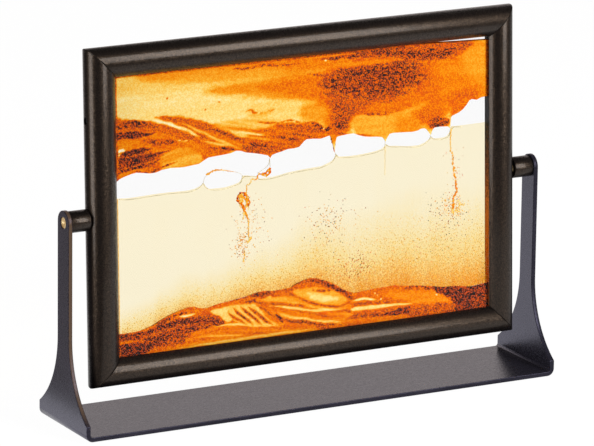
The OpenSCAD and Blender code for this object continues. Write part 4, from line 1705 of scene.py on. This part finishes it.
@dataclass
class BarFrame:
    """Four mitred round bars round the glass cell, joined by hidden keys.

    Attributes:
        lean: Angle by which the frame leans back.
        radius: Radius of a bar.
        groove_half: Half the width of the glass groove.
        groove_depth: Depth of the glass groove.
        bar_x: Distance of the stiles' middles from the pivot.
        bar_z: Distance of the rails' middles from the pivot.
        rear_setback: How far the rear lip of the groove is set back, so that the cell shows to its edge.
        splay: Angle of the rear lip's planed face to the depth of the frame.
        mitre_edge: Size of the rounded edge at a mitre.
        port_radius: Radius of the filling hole in the left stile.
        port_height: Height of the filling hole over the pivot.
        port_depth: Depth of the filling hole.
        pin_hole: Radius and depth of the pin holes in the stiles.
        steps: Faces round a bar.
        spare: How much longer a bar is before its mitres are cut.
    """

    lean: float = 2.5
    radius: float = 8.4
    groove_half: float = 4.1
    groove_depth: float = 6.1
    bar_x: float = 119.8314
    bar_z: float = 82.3314
    rear_setback: float = 2.14
    splay: float = 28.6
    mitre_edge: float = 0.4
    port_radius: float = 2.0
    port_height: float = 52.5
    port_depth: float = 9.0
    pin_hole: Point = (3.0, 8.2)
    steps: int = 72
    spare: float = 1.0

    @property
    def place(self) -> Matrix:
        """Where the frame hangs, in metres."""
        return Matrix.Translation(PIVOT) @ Matrix.Rotation(math.radians(-self.lean), 4, "X")

    def bar(self, half: float) -> BMesh:
        """Models a bar along X whose groove faces down.

        Args:
            half: Half its length at its middle.

        Returns:
            Mesh of the mitred bar.
        """
        lip = math.sqrt(self.radius**2 - self.groove_half**2)
        start = -half - self.radius - self.spare
        bm = bmesh.new()
        first = bm.verts.new((start, -self.groove_half, -lip))
        round_angle = 2 * math.pi - 2 * math.asin(self.groove_half / self.radius)
        drawn = bmesh.ops.spin(bm, geom=[first], cent=(start, 0, 0), axis=(1, 0, 0), angle=-round_angle,
                               steps=self.steps)
        last = new_points(drawn, "geom_last")[0]
        deep = self.groove_depth - lip
        corners = [bm.verts.new((start, side * self.groove_half, deep)) for side in (1, -1)]
        for pair in ((last, corners[0]), (corners[0], corners[1]), (corners[1], first)):
            bm.edges.new(pair)
        section = bmesh.ops.edgeloop_fill(bm, edges=bm.edges[:])["faces"]
        drawn = bmesh.ops.extrude_face_region(bm, geom=section)
        bmesh.ops.translate(bm, verts=new_points(drawn), vec=(-2 * start, 0, 0))
        slope = math.radians(self.splay)
        bmesh.ops.bisect_plane(bm, geom=bm.verts[:] + bm.edges[:] + bm.faces[:], clear_outer=True,
                               plane_co=(0, self.groove_half, self.rear_setback - lip),
                               plane_no=(0, math.sin(slope), -math.cos(slope)))
        bmesh.ops.edgeloop_fill(bm, edges=[e for e in bm.edges if len(e.link_faces) == 1])
        for end in (-1, 1):
            self.mitre(bm, end, half)
        bmesh.ops.recalc_face_normals(bm, faces=bm.faces)
        return bm

    def mitre(self, bm: BMesh, end: int, half: float) -> None:
        """Cuts one end of a bar to its mitre and rounds the cut's edge.

        Args:
            bm: Mesh of the bar.
            end: -1 or 1, for the end that is cut.
            half: Half the bar's length at its middle.
        """
        bmesh.ops.bisect_plane(bm, geom=bm.verts[:] + bm.edges[:] + bm.faces[:], clear_outer=True,
                               plane_co=(end * half, 0, 0), plane_no=(end, 0, -1))
        rim = [e for e in bm.edges if len(e.link_faces) == 1]
        caps = bmesh.ops.edgeloop_fill(bm, edges=rim)["faces"]
        outer = self.radius - ON_BAR
        edges = [e for cap in caps for e in cap.edges if min(v.co.yz.length for v in e.verts) > outer]
        bmesh.ops.bevel(bm, geom=edges, offset=self.mitre_edge, segments=3, profile=0.5, affect="EDGES",
                        material=-1, clamp_overlap=True)

    def build(self) -> None:
        """Builds and dresses the bars, and cuts the holes in the stiles."""
        for side in Side:
            upright = side in (Side.LEFT, Side.RIGHT)
            half, reach = (self.bar_z, self.bar_x) if upright else (self.bar_x, self.bar_z)
            turn = Matrix.Rotation(math.radians(side.value), 4, "Y")
            out = turn @ Matrix.Translation((0, 0, reach * MM))
            kind = "stile" if upright else "rail"
            node = f"{side.name.lower()}_{kind}"
            bar = add_piece(f"round_{node}", self.bar(half), PEARL_LACQUER, Body.FRAME,
                            [node], self.place @ out)
            if upright:
                self.drill(bar, *self.pin_hole, side, 0.0)
            if side is Side.LEFT:
                self.drill(bar, self.port_radius, self.port_depth, side, self.port_height)
        for level in ("top", "bottom"):
            for side in ("left", "right"):
                dress_node(f"corner_key_{level}_{side}", ZINC_PLATE)

    def drill(self, bar: Object, radius: float, depth: float, side: Side, height: float) -> None:
        """Drills a hole into the outer side of a stile.

        Args:
            bar: The stile.
            radius: Radius of the hole.
            depth: Depth of the hole.
            side: Side on which the stile is.
            height: Height of the hole over the pivot.
        """
        outer = self.bar_x + self.radius
        drill = bmesh.new()
        bmesh.ops.create_cone(drill, cap_ends=True, segments=HOLE_STEPS, radius1=radius, radius2=radius,
                              depth=2 * depth)
        turn = Matrix.Rotation(math.pi / 2, 4, "Y")
        sign = -1 if side is Side.LEFT else 1
        cut_with(bar, drill, self.place @ Matrix.Translation((sign * outer * MM, 0, height * MM)) @ turn)


@dataclass
class Pivots:
    """Bushes and brass pins between the stiles and the arms.

    Attributes:
        pin_radius: Radius of a pin.
        pin_inner: Inner end of a pin, from the middle.
        pin_outer: Outer end of a pin, from the middle.
        chamfer: Size of the chamfer on its end.
        dimple_radius: Radius of the centre mark in its end.
        dimple_depth: Depth of the centre mark.
        dimple_edge: Depth and width of the rounded edge round the centre mark.
        dimple_waist: Shares of its depth and radius where the centre mark bends.
        bush_radius: Radius of a bush.
        bush_inner: Inner end of a bush, from the middle.
        bush_length: Length of a bush.
        bush_edge: Size of a bush's rounded edges.
        bush_play: Gap between a bush and its pin.
    """

    pin_radius: float = 3.0
    pin_inner: float = 120.2
    pin_outer: float = 141.78
    chamfer: float = 0.35
    dimple_radius: float = 1.3
    dimple_depth: float = 0.8
    dimple_edge: Point = (0.1, 0.15)
    dimple_waist: Point = (0.75, 0.6)
    bush_radius: float = 5.8
    bush_inner: float = 128.2314
    bush_length: float = 11.2
    bush_edge: float = 0.45
    bush_play: float = 0.02

    def pin(self) -> BMesh:
        """Turns a pin with a centre mark in its outer end.

        Returns:
            Mesh of the pin.
        """
        r, edge, middle = self.pin_radius, self.chamfer, ROUNDING * self.chamfer
        start, end = self.pin_inner, self.pin_outer
        waist_depth, waist_radius = self.dimple_waist
        return turned((
            (start, 0.0), (start, r - edge), (start + edge, r),
            (end - edge, r), (end - middle, r - middle), (end, r - edge),
            (end, self.dimple_radius + self.dimple_edge[1]), (end - self.dimple_edge[0], self.dimple_radius),
            (end - waist_depth * self.dimple_depth, waist_radius * self.dimple_radius),
            (end - self.dimple_depth, 0.0),
        ))

    def bush(self) -> BMesh:
        """Turns a bush with rounded edges.

        Returns:
            Mesh of the bush.
        """
        start, end = self.bush_inner, self.bush_inner + self.bush_length
        r, edge, middle = self.bush_radius, self.bush_edge, ROUNDING * self.bush_edge
        bore = self.pin_radius + self.bush_play
        return turned((
            (start, bore), (start, r - edge), (start + middle, r - middle), (start + edge, r),
            (end - edge, r), (end - middle, r - middle), (end, r - edge), (end, bore),
        ), closed=True)

    def build(self, place: Matrix) -> None:
        """Builds and dresses the bushes and pins.

        Args:
            place: Where the frame hangs, in metres.
        """
        for side, turn in (("left", math.pi), ("right", 0.0)):
            outwards = place @ Matrix.Rotation(turn, 4, "Z")
            add_piece(f"turned_{side}_bush", self.bush(), PEARL_LACQUER, Body.FRAME,
                      [f"{side}_bush"], outwards)
            add_piece(f"turned_{side}_pin", self.pin(), TURNED_BRASS, Body.FRAME,
                      [f"{side}_pivot_pin"], outwards)


# The glass cell and what is in it


@dataclass
class GlassCell:
    """Two panes with rubber strips between them and a plug in the filling hole."""

    def build(self) -> None:
        """Dresses the panes, strips and plug, whose CAD shapes are right."""
        for depth in ("front", "rear"):
            dress_node(f"{depth}_pane", PICTURE_GLASS)
        for side in Side:
            dress_node(f"spacer_{side.name.lower()}", SANDY_RUBBER)
        dress_node("filler_plug", PAD_RUBBER)


@dataclass(frozen=True)
class Trickle:
    """A chain of grains that fall close together.

    Attributes:
        line: Points that it passes.
        radius: Radius of its grains at its start and at its end.
        tone: Mean tone of its sand.
        stray: How far the grains stray from the line, in radii.
    """

    line: Line
    radius: Point
    tone: float
    stray: float = 0.35


@dataclass(frozen=True)
class Cloud:
    """A cloud of loose grains.

    Attributes:
        middle: Its middle.
        spread: How far its grains stray across and up.
        count: Number of its grains.
        tone: Lightest and darkest tone of a grain.
        size: Smallest and largest radius of a grain.
    """

    middle: Point
    spread: Point
    count: int
    tone: Point
    size: Point = (0.2, 0.34)


# Chains of falling grains
TRICKLES = (
    # Lump at the left joint of the bubbles, and the thread that runs from it
    Trickle(((-20.7, 16.2), (-20.3, 14.8), (-21, 13.2)), (0.8, 0.8), 0.64),
    Trickle(((-21.2, 15.2), (-23, 13.8), (-25, 13.3), (-27, 13.6)), (0.75, 0.6), 0.52),
    Trickle(((-21.5, 13), (-23.2, 12.3), (-25, 12.9)), (0.6, 0.5), 0.42),
    Trickle(((-27, 13.8), (-28, 12.7), (-27.9, 11.6), (-29, 10.9), (-30.2, 11)), (0.5, 0.4), 0.44),
    Trickle(((-30.2, 11.1), (-31.5, 11.2), (-32.2, 9.8), (-33.2, 8.6), (-34.3, 8.6)), (0.36, 0.42), 0.28),
    Trickle(((-34.4, 8.4), (-34.6, 6), (-34.8, 3.5)), (0.36, 0.48), 0.38),
    # Loop of sand under it
    Trickle(((-36, 3.2), (-36.6, 4.4), (-38, 4.5), (-39.4, 3), (-40, 1), (-39.7, 0), (-38.4, -0.8)),
        (0.7, 0.65), 0.68),
    Trickle(((-38.4, -0.8), (-37.4, -2), (-36.6, -3.2), (-35.8, -4.4)), (0.9, 1.0), 0.60),
    Trickle(((-35, 4.2), (-34.6, 2.4), (-33.6, 1), (-32.9, -0.8), (-33.4, -2.4), (-34, -3)),
        (0.6, 0.7), 0.56),
    Trickle(((-36.2, 2.6), (-35.3, 0.6), (-34.6, 1)), (0.55, 0.5), 0.48),
    Trickle(((-38.8, 2.6), (-38, 0.6), (-36.8, -1.4)), (1.2, 1.0), 0.36),
    Trickle(((-37.4, 3.4), (-36.8, 1.6), (-37.2, -0.4)), (0.9, 0.8), 0.32),
    Trickle(((-34.4, 2.4), (-34.2, 0), (-34.8, -3)), (0.9, 0.9), 0.40),
    Trickle(((-38.6, -1.6), (-38.2, -3.5)), (0.45, 0.3), 0.22),
    Trickle(((-33.5, -3.2), (-33.6, -5.4)), (0.45, 0.3), 0.22),
    # Its tail
    Trickle(((-36.3, -4.6), (-35.6, -6), (-34.9, -8), (-34.3, -9.6), (-33.8, -11)), (0.8, 0.45), 0.44),
    Trickle(((-36.4, -6), (-36.6, -9.5)), (0.55, 0.4), 0.28),
    Trickle(((-33.7, -11), (-33.5, -15), (-33.6, -20)), (0.4, 0.36), 0.34),
    Trickle(((-33.4, -20.4), (-33.6, -22.8)), (0.8, 0.7), 0.30, stray=0.6),
    Trickle(((-36.3, -27), (-36.2, -30), (-37.3, -33)), (0.35, 0.25), 0.32, stray=0.8),
    # Thin sand in the films between the bubbles
    Trickle(((-58, 16.8), (-55, 18), (-52, 18.5), (-48, 18), (-44, 17), (-41, 16.3)), (0.55, 0.15), 0.42),
    Trickle(((17, 30), (17.8, 25), (18.5, 21)), (0.9, 0.4), 0.62),
    Trickle(((49.6, 20), (49.5, 12), (49.4, 5)), (0.22, 0.16), 0.20),
    # Thread at the right, which breaks up as it falls
    Trickle(((90.6, 26), (90.2, 23), (90, 20), (90.1, 16), (90.3, 14.5)), (0.36, 0.32), 0.32),
    Trickle(((90, 14), (91, 12.8), (91.6, 10.2), (91.8, 8)), (0.45, 0.42), 0.38, stray=0.7),
    Trickle(((91.6, 7.4), (91.3, 5.6)), (0.5, 0.5), 0.46),
    Trickle(((92, 5), (92.3, 2), (92.8, 0), (93.1, -3)), (0.5, 0.5), 0.38, stray=0.8),
    Trickle(((93.2, -3), (93.3, -5.5), (93.5, -7.5), (94, -8.8), (93, -10)), (0.55, 0.6), 0.50),
    Trickle(((93, -10.2), (91.8, -12.5), (91.5, -13.5), (92, -15.5), (91.6, -18)), (0.55, 0.7), 0.50,
        stray=0.5),
    Trickle(((91, -18), (91.5, -20.5), (93.5, -20), (95.5, -21)), (0.5, 0.45), 0.24, stray=0.9),
    Trickle(((95.5, -16.8), (97.5, -17.2), (99, -16.5)), (0.42, 0.35), 0.26, stray=0.9),
    Trickle(((94.5, -14), (96, -16), (95, -19.5)), (0.36, 0.36), 0.20, stray=0.9),
)

# Loose grains round the trickles and over the dunes
CLOUDS = (
    Cloud((-32, -13), (5.0, 7.0), 90, tone=(0.34, 0.46)),
    Cloud((-31, -14), (5.5, 7.5), 30, size=(0.2, 0.32), tone=(0.95, 1.0)),
    Cloud((-38, -24), (2.6, 4.5), 110, size=(0.2, 0.36), tone=(0.34, 0.46)),
    Cloud((-38, -26), (2.6, 4.0), 26, size=(0.2, 0.32), tone=(0.93, 1.0)),
    Cloud((15, -18), (8.0, 7.0), 120, tone=(0.34, 0.46)),
    Cloud((15, -18), (8.0, 7.0), 80, tone=(0.96, 1.0)),
    Cloud((25, -44), (10.0, 5.0), 110, tone=(0.55, 0.9)),
    Cloud((33, -44), (3.5, 4.0), 80, tone=(0.66, 0.92)),
    Cloud((91, -17), (4.5, 4.0), 130, size=(0.2, 0.36), tone=(0.32, 0.5)),
    Cloud((88, -23), (6.5, 7.5), 110, size=(0.18, 0.34), tone=(0.9, 1.0)),
    Cloud((92.5, 2), (2.6, 9.0), 50, size=(0.18, 0.28), tone=(0.3, 0.9)),
    Cloud((70, -36), (26.0, 9.0), 260, size=(0.16, 0.26), tone=(0.3, 0.55)),
    Cloud((60, -44), (30.0, 6.0), 160, size=(0.16, 0.26), tone=(0.5, 0.85)),
)

# Thin films of liquid between the bubbles
FILMS: tuple[Line, ...] = (
    ((-20.6, 21.5), (-20.3, 17)),
    ((-20.7, 21), (-21, 18.8), (-22.5, 17), (-25, 15.6), (-28, 14.2)),
    ((18.4, 21.2), (19.4, 19.6)),
    ((49.5, 23), (49.7, 21.8)),
    ((77.4, 23.6), (77.7, 22.9)),
    ((-60.3, 12.6), (-59.6, 14.6), (-58, 16.8)),
    ((-41, 16.3), (-38.4, 15.3), (-36.9, 13.9)),
)


@dataclass
class SandPicture:
    """Dyed sand, liquid, bubbles and falling sand in the cell.

    Attributes:
        half_width: Half the width of the cell.
        half_height: Half the height of the cell.
        depth: Thickness of the sand and liquid, just less than the gap between the panes.
        step: Spacing of the columns and rows that carry the tones.
        film: Gap between the liquid and the dunes.
        bulge: How far the bubbles are wider at the rear pane.
        fall: How much lower the dunes are at the rear pane.
        rim_radius: Radius of the line round the bubbles.
        film_radius: Radius of the lines between the bubbles.
        trickle_front: Distance of the falling sand in front of the cell's middle.
        flat: How far threads and grains are flattened between the panes.
        packing: Spacing of a trickle's grains, in radii.
        odd_sizes: Smallest and largest share of its radius that a trickle's grain has.
        tone_spread: How far the tones of a trickle's grains differ.
        clear_top: Least depth of a loose grain under the bubbles.
        clear_side: Least distance of a loose grain from the right-hand edge.
        seed: Seed of the loose grains.
        upper_rows: Rows of faces in the upper sand.
        lower_rows: Rows of faces in the dunes.
        liquid_rows: Rows of faces in the liquid.
    """

    half_width: float = 113.5
    half_height: float = 76.0
    depth: float = 3.8
    step: float = 0.5
    film: float = 0.05
    bulge: float = 2.2
    fall: float = 1.3
    rim_radius: float = 0.22
    film_radius: float = 0.14
    trickle_front: float = 1.1
    flat: float = 0.55
    packing: float = 0.6
    odd_sizes: Point = (0.55, 1.2)
    tone_spread: float = 0.07
    clear_top: float = 1.0
    clear_side: float = 1.5
    seed: int = 11
    upper_rows: int = 96
    lower_rows: int = 40
    liquid_rows: int = 48

    def slab(
        self,
        bottom: Heights,
        top: Heights,
        rows: int,
        tones: Callable[[Array, Array], Array],
        back_bottom: Heights | None = None,
        back_top: Heights | None = None,
    ) -> BMesh:
        """Fills the cell between two lines.

        Args:
            bottom: Gives the lower line's heights.
            top: Gives the upper line's heights.
            rows: Rows of faces between the lines.
            tones: Gives the tones at places across and up.
            back_bottom: Gives the lower line's heights at the rear pane, where they differ.
            back_top: Gives the upper line's heights at the rear pane, where they differ.

        Returns:
            Mesh of the slab, with its tones.
        """
        columns = round(2 * self.half_width / self.step)
        bm = bmesh.new()
        bmesh.ops.create_grid(bm, x_segments=columns, y_segments=rows, size=1.0)
        square = np.array([v.co for v in bm.verts])
        x = square[:, 0] * (self.half_width - self.film)
        low, high = bottom(x), top(x)
        z = low + (high - low) * 0.5 * (square[:, 1] + 1.0)
        layer = bm.verts.layers.float.new(TONE)
        for vert, across, up, tone in zip(bm.verts, x, z, tones(x, z)):
            vert.co = (across, -self.depth / 2, up)
            vert[layer] = tone
        drawn = bmesh.ops.extrude_face_region(bm, geom=bm.faces[:], use_keep_orig=True)
        back = new_points(drawn)
        bmesh.ops.translate(bm, verts=back, vec=(0, self.depth, 0))
        x, z = np.array([(v.co.x, v.co.z) for v in back]).T
        low, high = bottom(x), top(x)
        back_low, back_high = (back_bottom or bottom)(x), (back_top or top)(x)
        z = back_low + (back_high - back_low) * (z - low) / (high - low)
        for vert, up in zip(back, z):
            vert.co.z = up
        bmesh.ops.recalc_face_normals(bm, faces=bm.faces)
        return bm

    def thread(self, bm: BMesh, line: Sequence[Point], radius: float) -> None:
        """Adds a thread along a line.

        Args:
            bm: Mesh that gets the thread.
            line: Points that it passes.
            radius: Its radius.
        """
        points = curve_through(line, steps=4)
        path = bpy.data.curves.new("thread", "CURVE")
        path.dimensions = "3D"
        path.bevel_depth = radius
        path.bevel_resolution = 1
        path.use_fill_caps = True
        spline = path.splines.new("POLY")
        spline.points.add(len(points) - 1)
        for post, (x, z) in zip(spline.points, points):
            post.co = (x, 0.0, z, 1.0)
        holder = new_object("thread", path)
        mesh = worked_out(holder)
        before = len(bm.verts)
        bm.from_mesh(mesh)
        bm.verts.ensure_lookup_table()
        self.flatten(bm.verts[before:])
        bpy.data.objects.remove(holder)
        bpy.data.meshes.remove(mesh)

    def flatten(self, verts: Sequence[BMVert]) -> None:
        """Flattens added points between the panes, in front of the cell's middle."""
        for vert in verts:
            vert.co.y = self.flat * vert.co.y - self.trickle_front

    def grain(self, bm: BMesh, spot: Point, radius: float, tone: float) -> None:
        """Adds a grain of sand.

        Args:
            bm: Mesh that gets the grain.
            spot: Its place across and up.
            radius: Its radius.
            tone: Its tone.
        """
        place = Matrix.Translation((spot[0], 0.0, spot[1]))
        made = bmesh.ops.create_icosphere(bm, subdivisions=1, radius=radius, matrix=place)["verts"]
        self.flatten(made)
        layer = bm.verts.layers.float[TONE]
        for vert in made:
            vert[layer] = tone

    def chain(self, bm: BMesh, trickle: Trickle, chance: np.random.Generator) -> None:
        """Adds the grains of a trickle.

        Args:
            bm: Mesh that gets the grains.
            trickle: The trickle.
            chance: Source of the grains' small differences.
        """
        line = curve_through(trickle.line, steps=12)
        passed = np.concatenate([[0.0], np.cumsum(np.hypot(*np.diff(line, axis=0).T))])
        first, last = trickle.radius
        count = max(2, round(passed[-1] / (self.packing * (first + last) / 2)))
        share = np.linspace(0.0, 1.0, count)
        radius = (first + (last - first) * share) * chance.uniform(*self.odd_sizes, count)
        stray = chance.normal(0.0, trickle.stray, (2, count)) * radius
        x = np.interp(share * passed[-1], passed, line[:, 0]) + stray[0]
        z = np.interp(share * passed[-1], passed, line[:, 1]) + stray[1]
        tone = np.clip(trickle.tone + chance.normal(0.0, self.tone_spread, count), 0.0, 1.0)
        for spot_x, spot_z, r, t in zip(x, z, radius, tone):
            self.grain(bm, (spot_x, spot_z), r, t)

    def falling_sand(self) -> BMesh:
        """Models the threads of falling sand and the loose grains round them.

        Returns:
            Mesh of the falling sand, with its tones.
        """
        chance = np.random.default_rng(self.seed)
        bm = bmesh.new()
        bm.verts.layers.float.new(TONE)
        for trickle in TRICKLES:
            self.chain(bm, trickle, chance)
        for cloud in CLOUDS:
            across = chance.normal(cloud.middle[0], cloud.spread[0], cloud.count)
            up = chance.normal(cloud.middle[1], cloud.spread[1], cloud.count)
            size = chance.uniform(*cloud.size, cloud.count)
            tone = chance.uniform(*cloud.tone, cloud.count)
            across_most = self.half_width - self.clear_side
            up_most = height_on(LIQUID_TOP, across) - self.clear_top
            for x, z, r, t, ceiling in zip(across, up, size, tone, up_most):
                self.grain(bm, (min(x, across_most), min(z, ceiling)), r, t)
        return bm

    def bubble_rims(self) -> BMesh:
        """Models the thin lines where the liquid meets the bubbles.

        Returns:
            Mesh of the lines.
        """
        bm = bmesh.new()
        line = [(x, z - self.rim_radius) for x, z in LIQUID_TOP if abs(x) < self.half_width]
        self.thread(bm, line, self.rim_radius)
        for film in FILMS:
            self.thread(bm, film, self.film_radius)
        bmesh.ops.recalc_face_normals(bm, faces=bm.faces)
        return bm

    def build(self, place: Matrix) -> None:
        """Builds and dresses the sand, the liquid and the bubbles' edges.

        Args:
            place: Where the frame hangs, in metres.
        """
        upper = self.slab(
            lambda x: height_on(SAND_UNDERSIDE, x), lambda x: height_on(SAND_TOP, x), self.upper_rows,
            UPPER_STRATA.tone, back_bottom=lambda x: height_round(SAND_UNDERSIDE, x, self.bulge, np.max),
        )
        lower = self.slab(
            lambda x: np.full(x.shape, -self.half_height + self.film), lambda x: height_on(DUNE_TOP, x),
            self.lower_rows, LOWER_STRATA.tone, back_top=lambda x: height_on(DUNE_TOP, x) - self.fall,
        )
        liquid = self.slab(
            lambda x: height_on(DUNE_TOP, x) + self.film, lambda x: height_on(LIQUID_TOP, x),
            self.liquid_rows, haze, back_bottom=lambda x: height_on(DUNE_TOP, x) + self.film - self.fall,
            back_top=lambda x: height_round(LIQUID_TOP, x, self.bulge, np.min),
        )
        rims, trickles = self.bubble_rims(), self.falling_sand()
        add_piece("layered_upper_sand", upper, DYED_SAND, Body.FRAME, ["upper_sand"], place)
        add_piece("layered_lower_sand", lower, DYED_SAND, Body.FRAME, ["lower_sand"], place)
        add_piece("hazy_liquid", liquid, HAZY_LIQUID, Body.FRAME, ["liquid"], place)
        add_piece("bubble_rims", rims, BUBBLE_RIM, Body.FRAME, [], place)
        add_piece("trickling_sand", trickles, DYED_SAND, Body.FRAME, ["falling_sand"], place)


# The studio


@dataclass(frozen=True)
class Lamp:
    """A soft lamp.

    Attributes:
        name: Its name.
        bearing: Angle from the front, positive to the right.
        elevation: Angle over the floor.
        distance: Distance from the object, in metres.
        size: Width and height, in metres.
        power: Its power, in watts.
    """

    name: str
    bearing: float
    elevation: float
    distance: float
    size: Point
    power: float


@dataclass
class Studio:
    """White sweep, soft lamps and the camera.

    Attributes:
        lamps: The lamps.
        bearing: Angle of the camera from the front, positive to the right.
        elevation: Angle of the camera over the floor.
        roll: Turn of the camera about its view.
        distance: Distance of the camera from its target.
        target: Point that it looks at.
        lens: Focal length of its lens.
        sensor: Width of its sensor.
        far: Distance to which it sees, in metres.
        floor_back: Reach of the floor to the right and back, in metres.
        floor_left: Reach of the floor to the left, in metres.
        floor_front: Reach of the floor to the front, beyond which the room is dark, in metres.
        sky: Colour of the room's light.
        sky_light: Light of the dark part of the room, and of the pale wall behind.
        wall_behind: Share of a direction to the back from which the wall starts to show, and shows in full.
        wall_low: The same for its share upwards.
        wall_right: The same for its share to the right.
    """

    lamps: tuple[Lamp, ...] = (
        Lamp("key_softbox", 24.0, 20.0, 1.5, (0.75, 1.0), 23.2),
        Lamp("left_softbox", -80.0, 0.0, 1.1, (0.55, 0.5), 6.5),
    )
    bearing: float = -28.555
    elevation: float = 14.865
    roll: float = 0.739
    distance: float = 2771.47
    target: tuple[float, float, float] = (-3.441, 0.0, 97.055)
    lens: float = 314.94
    sensor: float = 36.0
    far: float = 50.0
    floor_back: float = 6.0
    floor_left: float = 0.165
    floor_front: float = 0.32
    sky: str = "FFF4F1"
    sky_light: Point = (0.1, 1.06)
    wall_behind: Point = (0.3, 0.7)
    wall_low: Point = (0.7, 0.3)
    wall_right: Point = (-0.45, -0.1)

    def facing(self, bearing: float, elevation: float, distance: float) -> Matrix:
        """Gives the place of a lamp or camera that faces the object.

        Args:
            bearing: Its angle from the front, positive to the right.
            elevation: Its angle over the floor.
            distance: Its distance from the camera's target, in metres.

        Returns:
            The place, in metres.
        """
        around = Matrix.Rotation(math.radians(bearing), 4, "Z")
        tilt = Matrix.Rotation(math.radians(90.0 - elevation), 4, "X")
        away = Matrix.Translation((0, 0, distance))
        return Matrix.Translation(Vector(self.target) * MM) @ around @ tilt @ away

    def add_camera(self) -> None:
        """Adds the camera at the photograph's angle."""
        data = bpy.data.cameras.new("camera")
        data.sensor_width = self.sensor
        data.sensor_fit = "HORIZONTAL"
        data.lens = self.lens
        data.clip_end = self.far
        camera = new_object("camera", data)
        roll = Matrix.Rotation(math.radians(self.roll), 4, "Z")
        camera.matrix_world = self.facing(self.bearing, self.elevation, self.distance * MM) @ roll
        bpy.context.scene.camera = camera

    def add_lamps(self) -> None:
        """Adds the soft lamps, each facing the object."""
        for lamp in self.lamps:
            data = bpy.data.lights.new(lamp.name, "AREA")
            data.shape = "RECTANGLE"
            data.size, data.size_y = lamp.size
            data.energy = lamp.power
            light = new_object(lamp.name, data)
            light.matrix_world = self.facing(lamp.bearing, lamp.elevation, lamp.distance)

    def add_floor(self) -> None:
        """Adds the floor under the object."""
        bm = bmesh.new()
        bmesh.ops.create_grid(bm, x_segments=1, y_segments=1, size=0.5)
        wide, deep = self.floor_left + self.floor_back, self.floor_front + self.floor_back
        bmesh.ops.scale(bm, verts=bm.verts, vec=(wide, deep, 1.0))
        middle = (wide / 2 - self.floor_left, deep / 2 - self.floor_front, 0.0)
        bmesh.ops.translate(bm, verts=bm.verts, vec=middle)
        mesh = bpy.data.meshes.new("floor")
        bm.to_mesh(mesh)
        bm.free()
        mesh.materials.append(PAPER_SWEEP.material())
        floor = new_object("floor", mesh)

    def add_sky(self) -> None:
        """Adds a dim room with a pale wall behind the object, which the camera sees white."""
        world = bpy.data.worlds.new("studio")
        world.use_nodes = True
        bpy.context.scene.world = world
        world.node_tree.nodes.clear()
        add = partial(add_node, world.node_tree)
        way = add("TexCoord").outputs["Generated"]
        parts = add("SeparateXYZ", {"Vector": way})
        wall: float | Node = 1.0
        for axis, shows in zip("YZX", (self.wall_behind, self.wall_low, self.wall_right)):
            share = add("MapRange", {"Value": parts.outputs[axis], "From": shows},
                        interpolation_type="SMOOTHSTEP")
            wall = add("Math", {0: wall, 1: share}, operation="MULTIPLY")
        light = add("MapRange", {"Value": wall, "To": self.sky_light})
        room = add("Background", {"Color": linear(self.sky), "Strength": light})
        white = add("Background", {"Color": linear("FFFFFF"), "Strength": WHITE})
        ray = add("LightPath").outputs
        seen = add("Math", {0: ray["Is Camera Ray"], 1: ray["Is Transmission Ray"]}, operation="MAXIMUM")
        mix = add("MixShader", {0: seen, 1: room, 2: white})
        add("OutputWorld", {"Surface": mix})

    def build(self) -> None:
        """Sets the stage, the light and the camera."""
        bpy.context.scene.view_settings.view_transform = "Standard"
        self.add_camera()
        self.add_lamps()
        self.add_floor()
        self.add_sky()


def main() -> None:
    """Builds the studio and each sub-assembly in order."""
    logging.basicConfig(level=logging.INFO, format="%(message)s")
    Studio().build()
    Stand().build()
    bars = BarFrame()
    bars.build()
    Pivots().build(bars.place)
    GlassCell().build()
    SandPicture().build(bars.place)


if __name__ == "__main__":
    main()
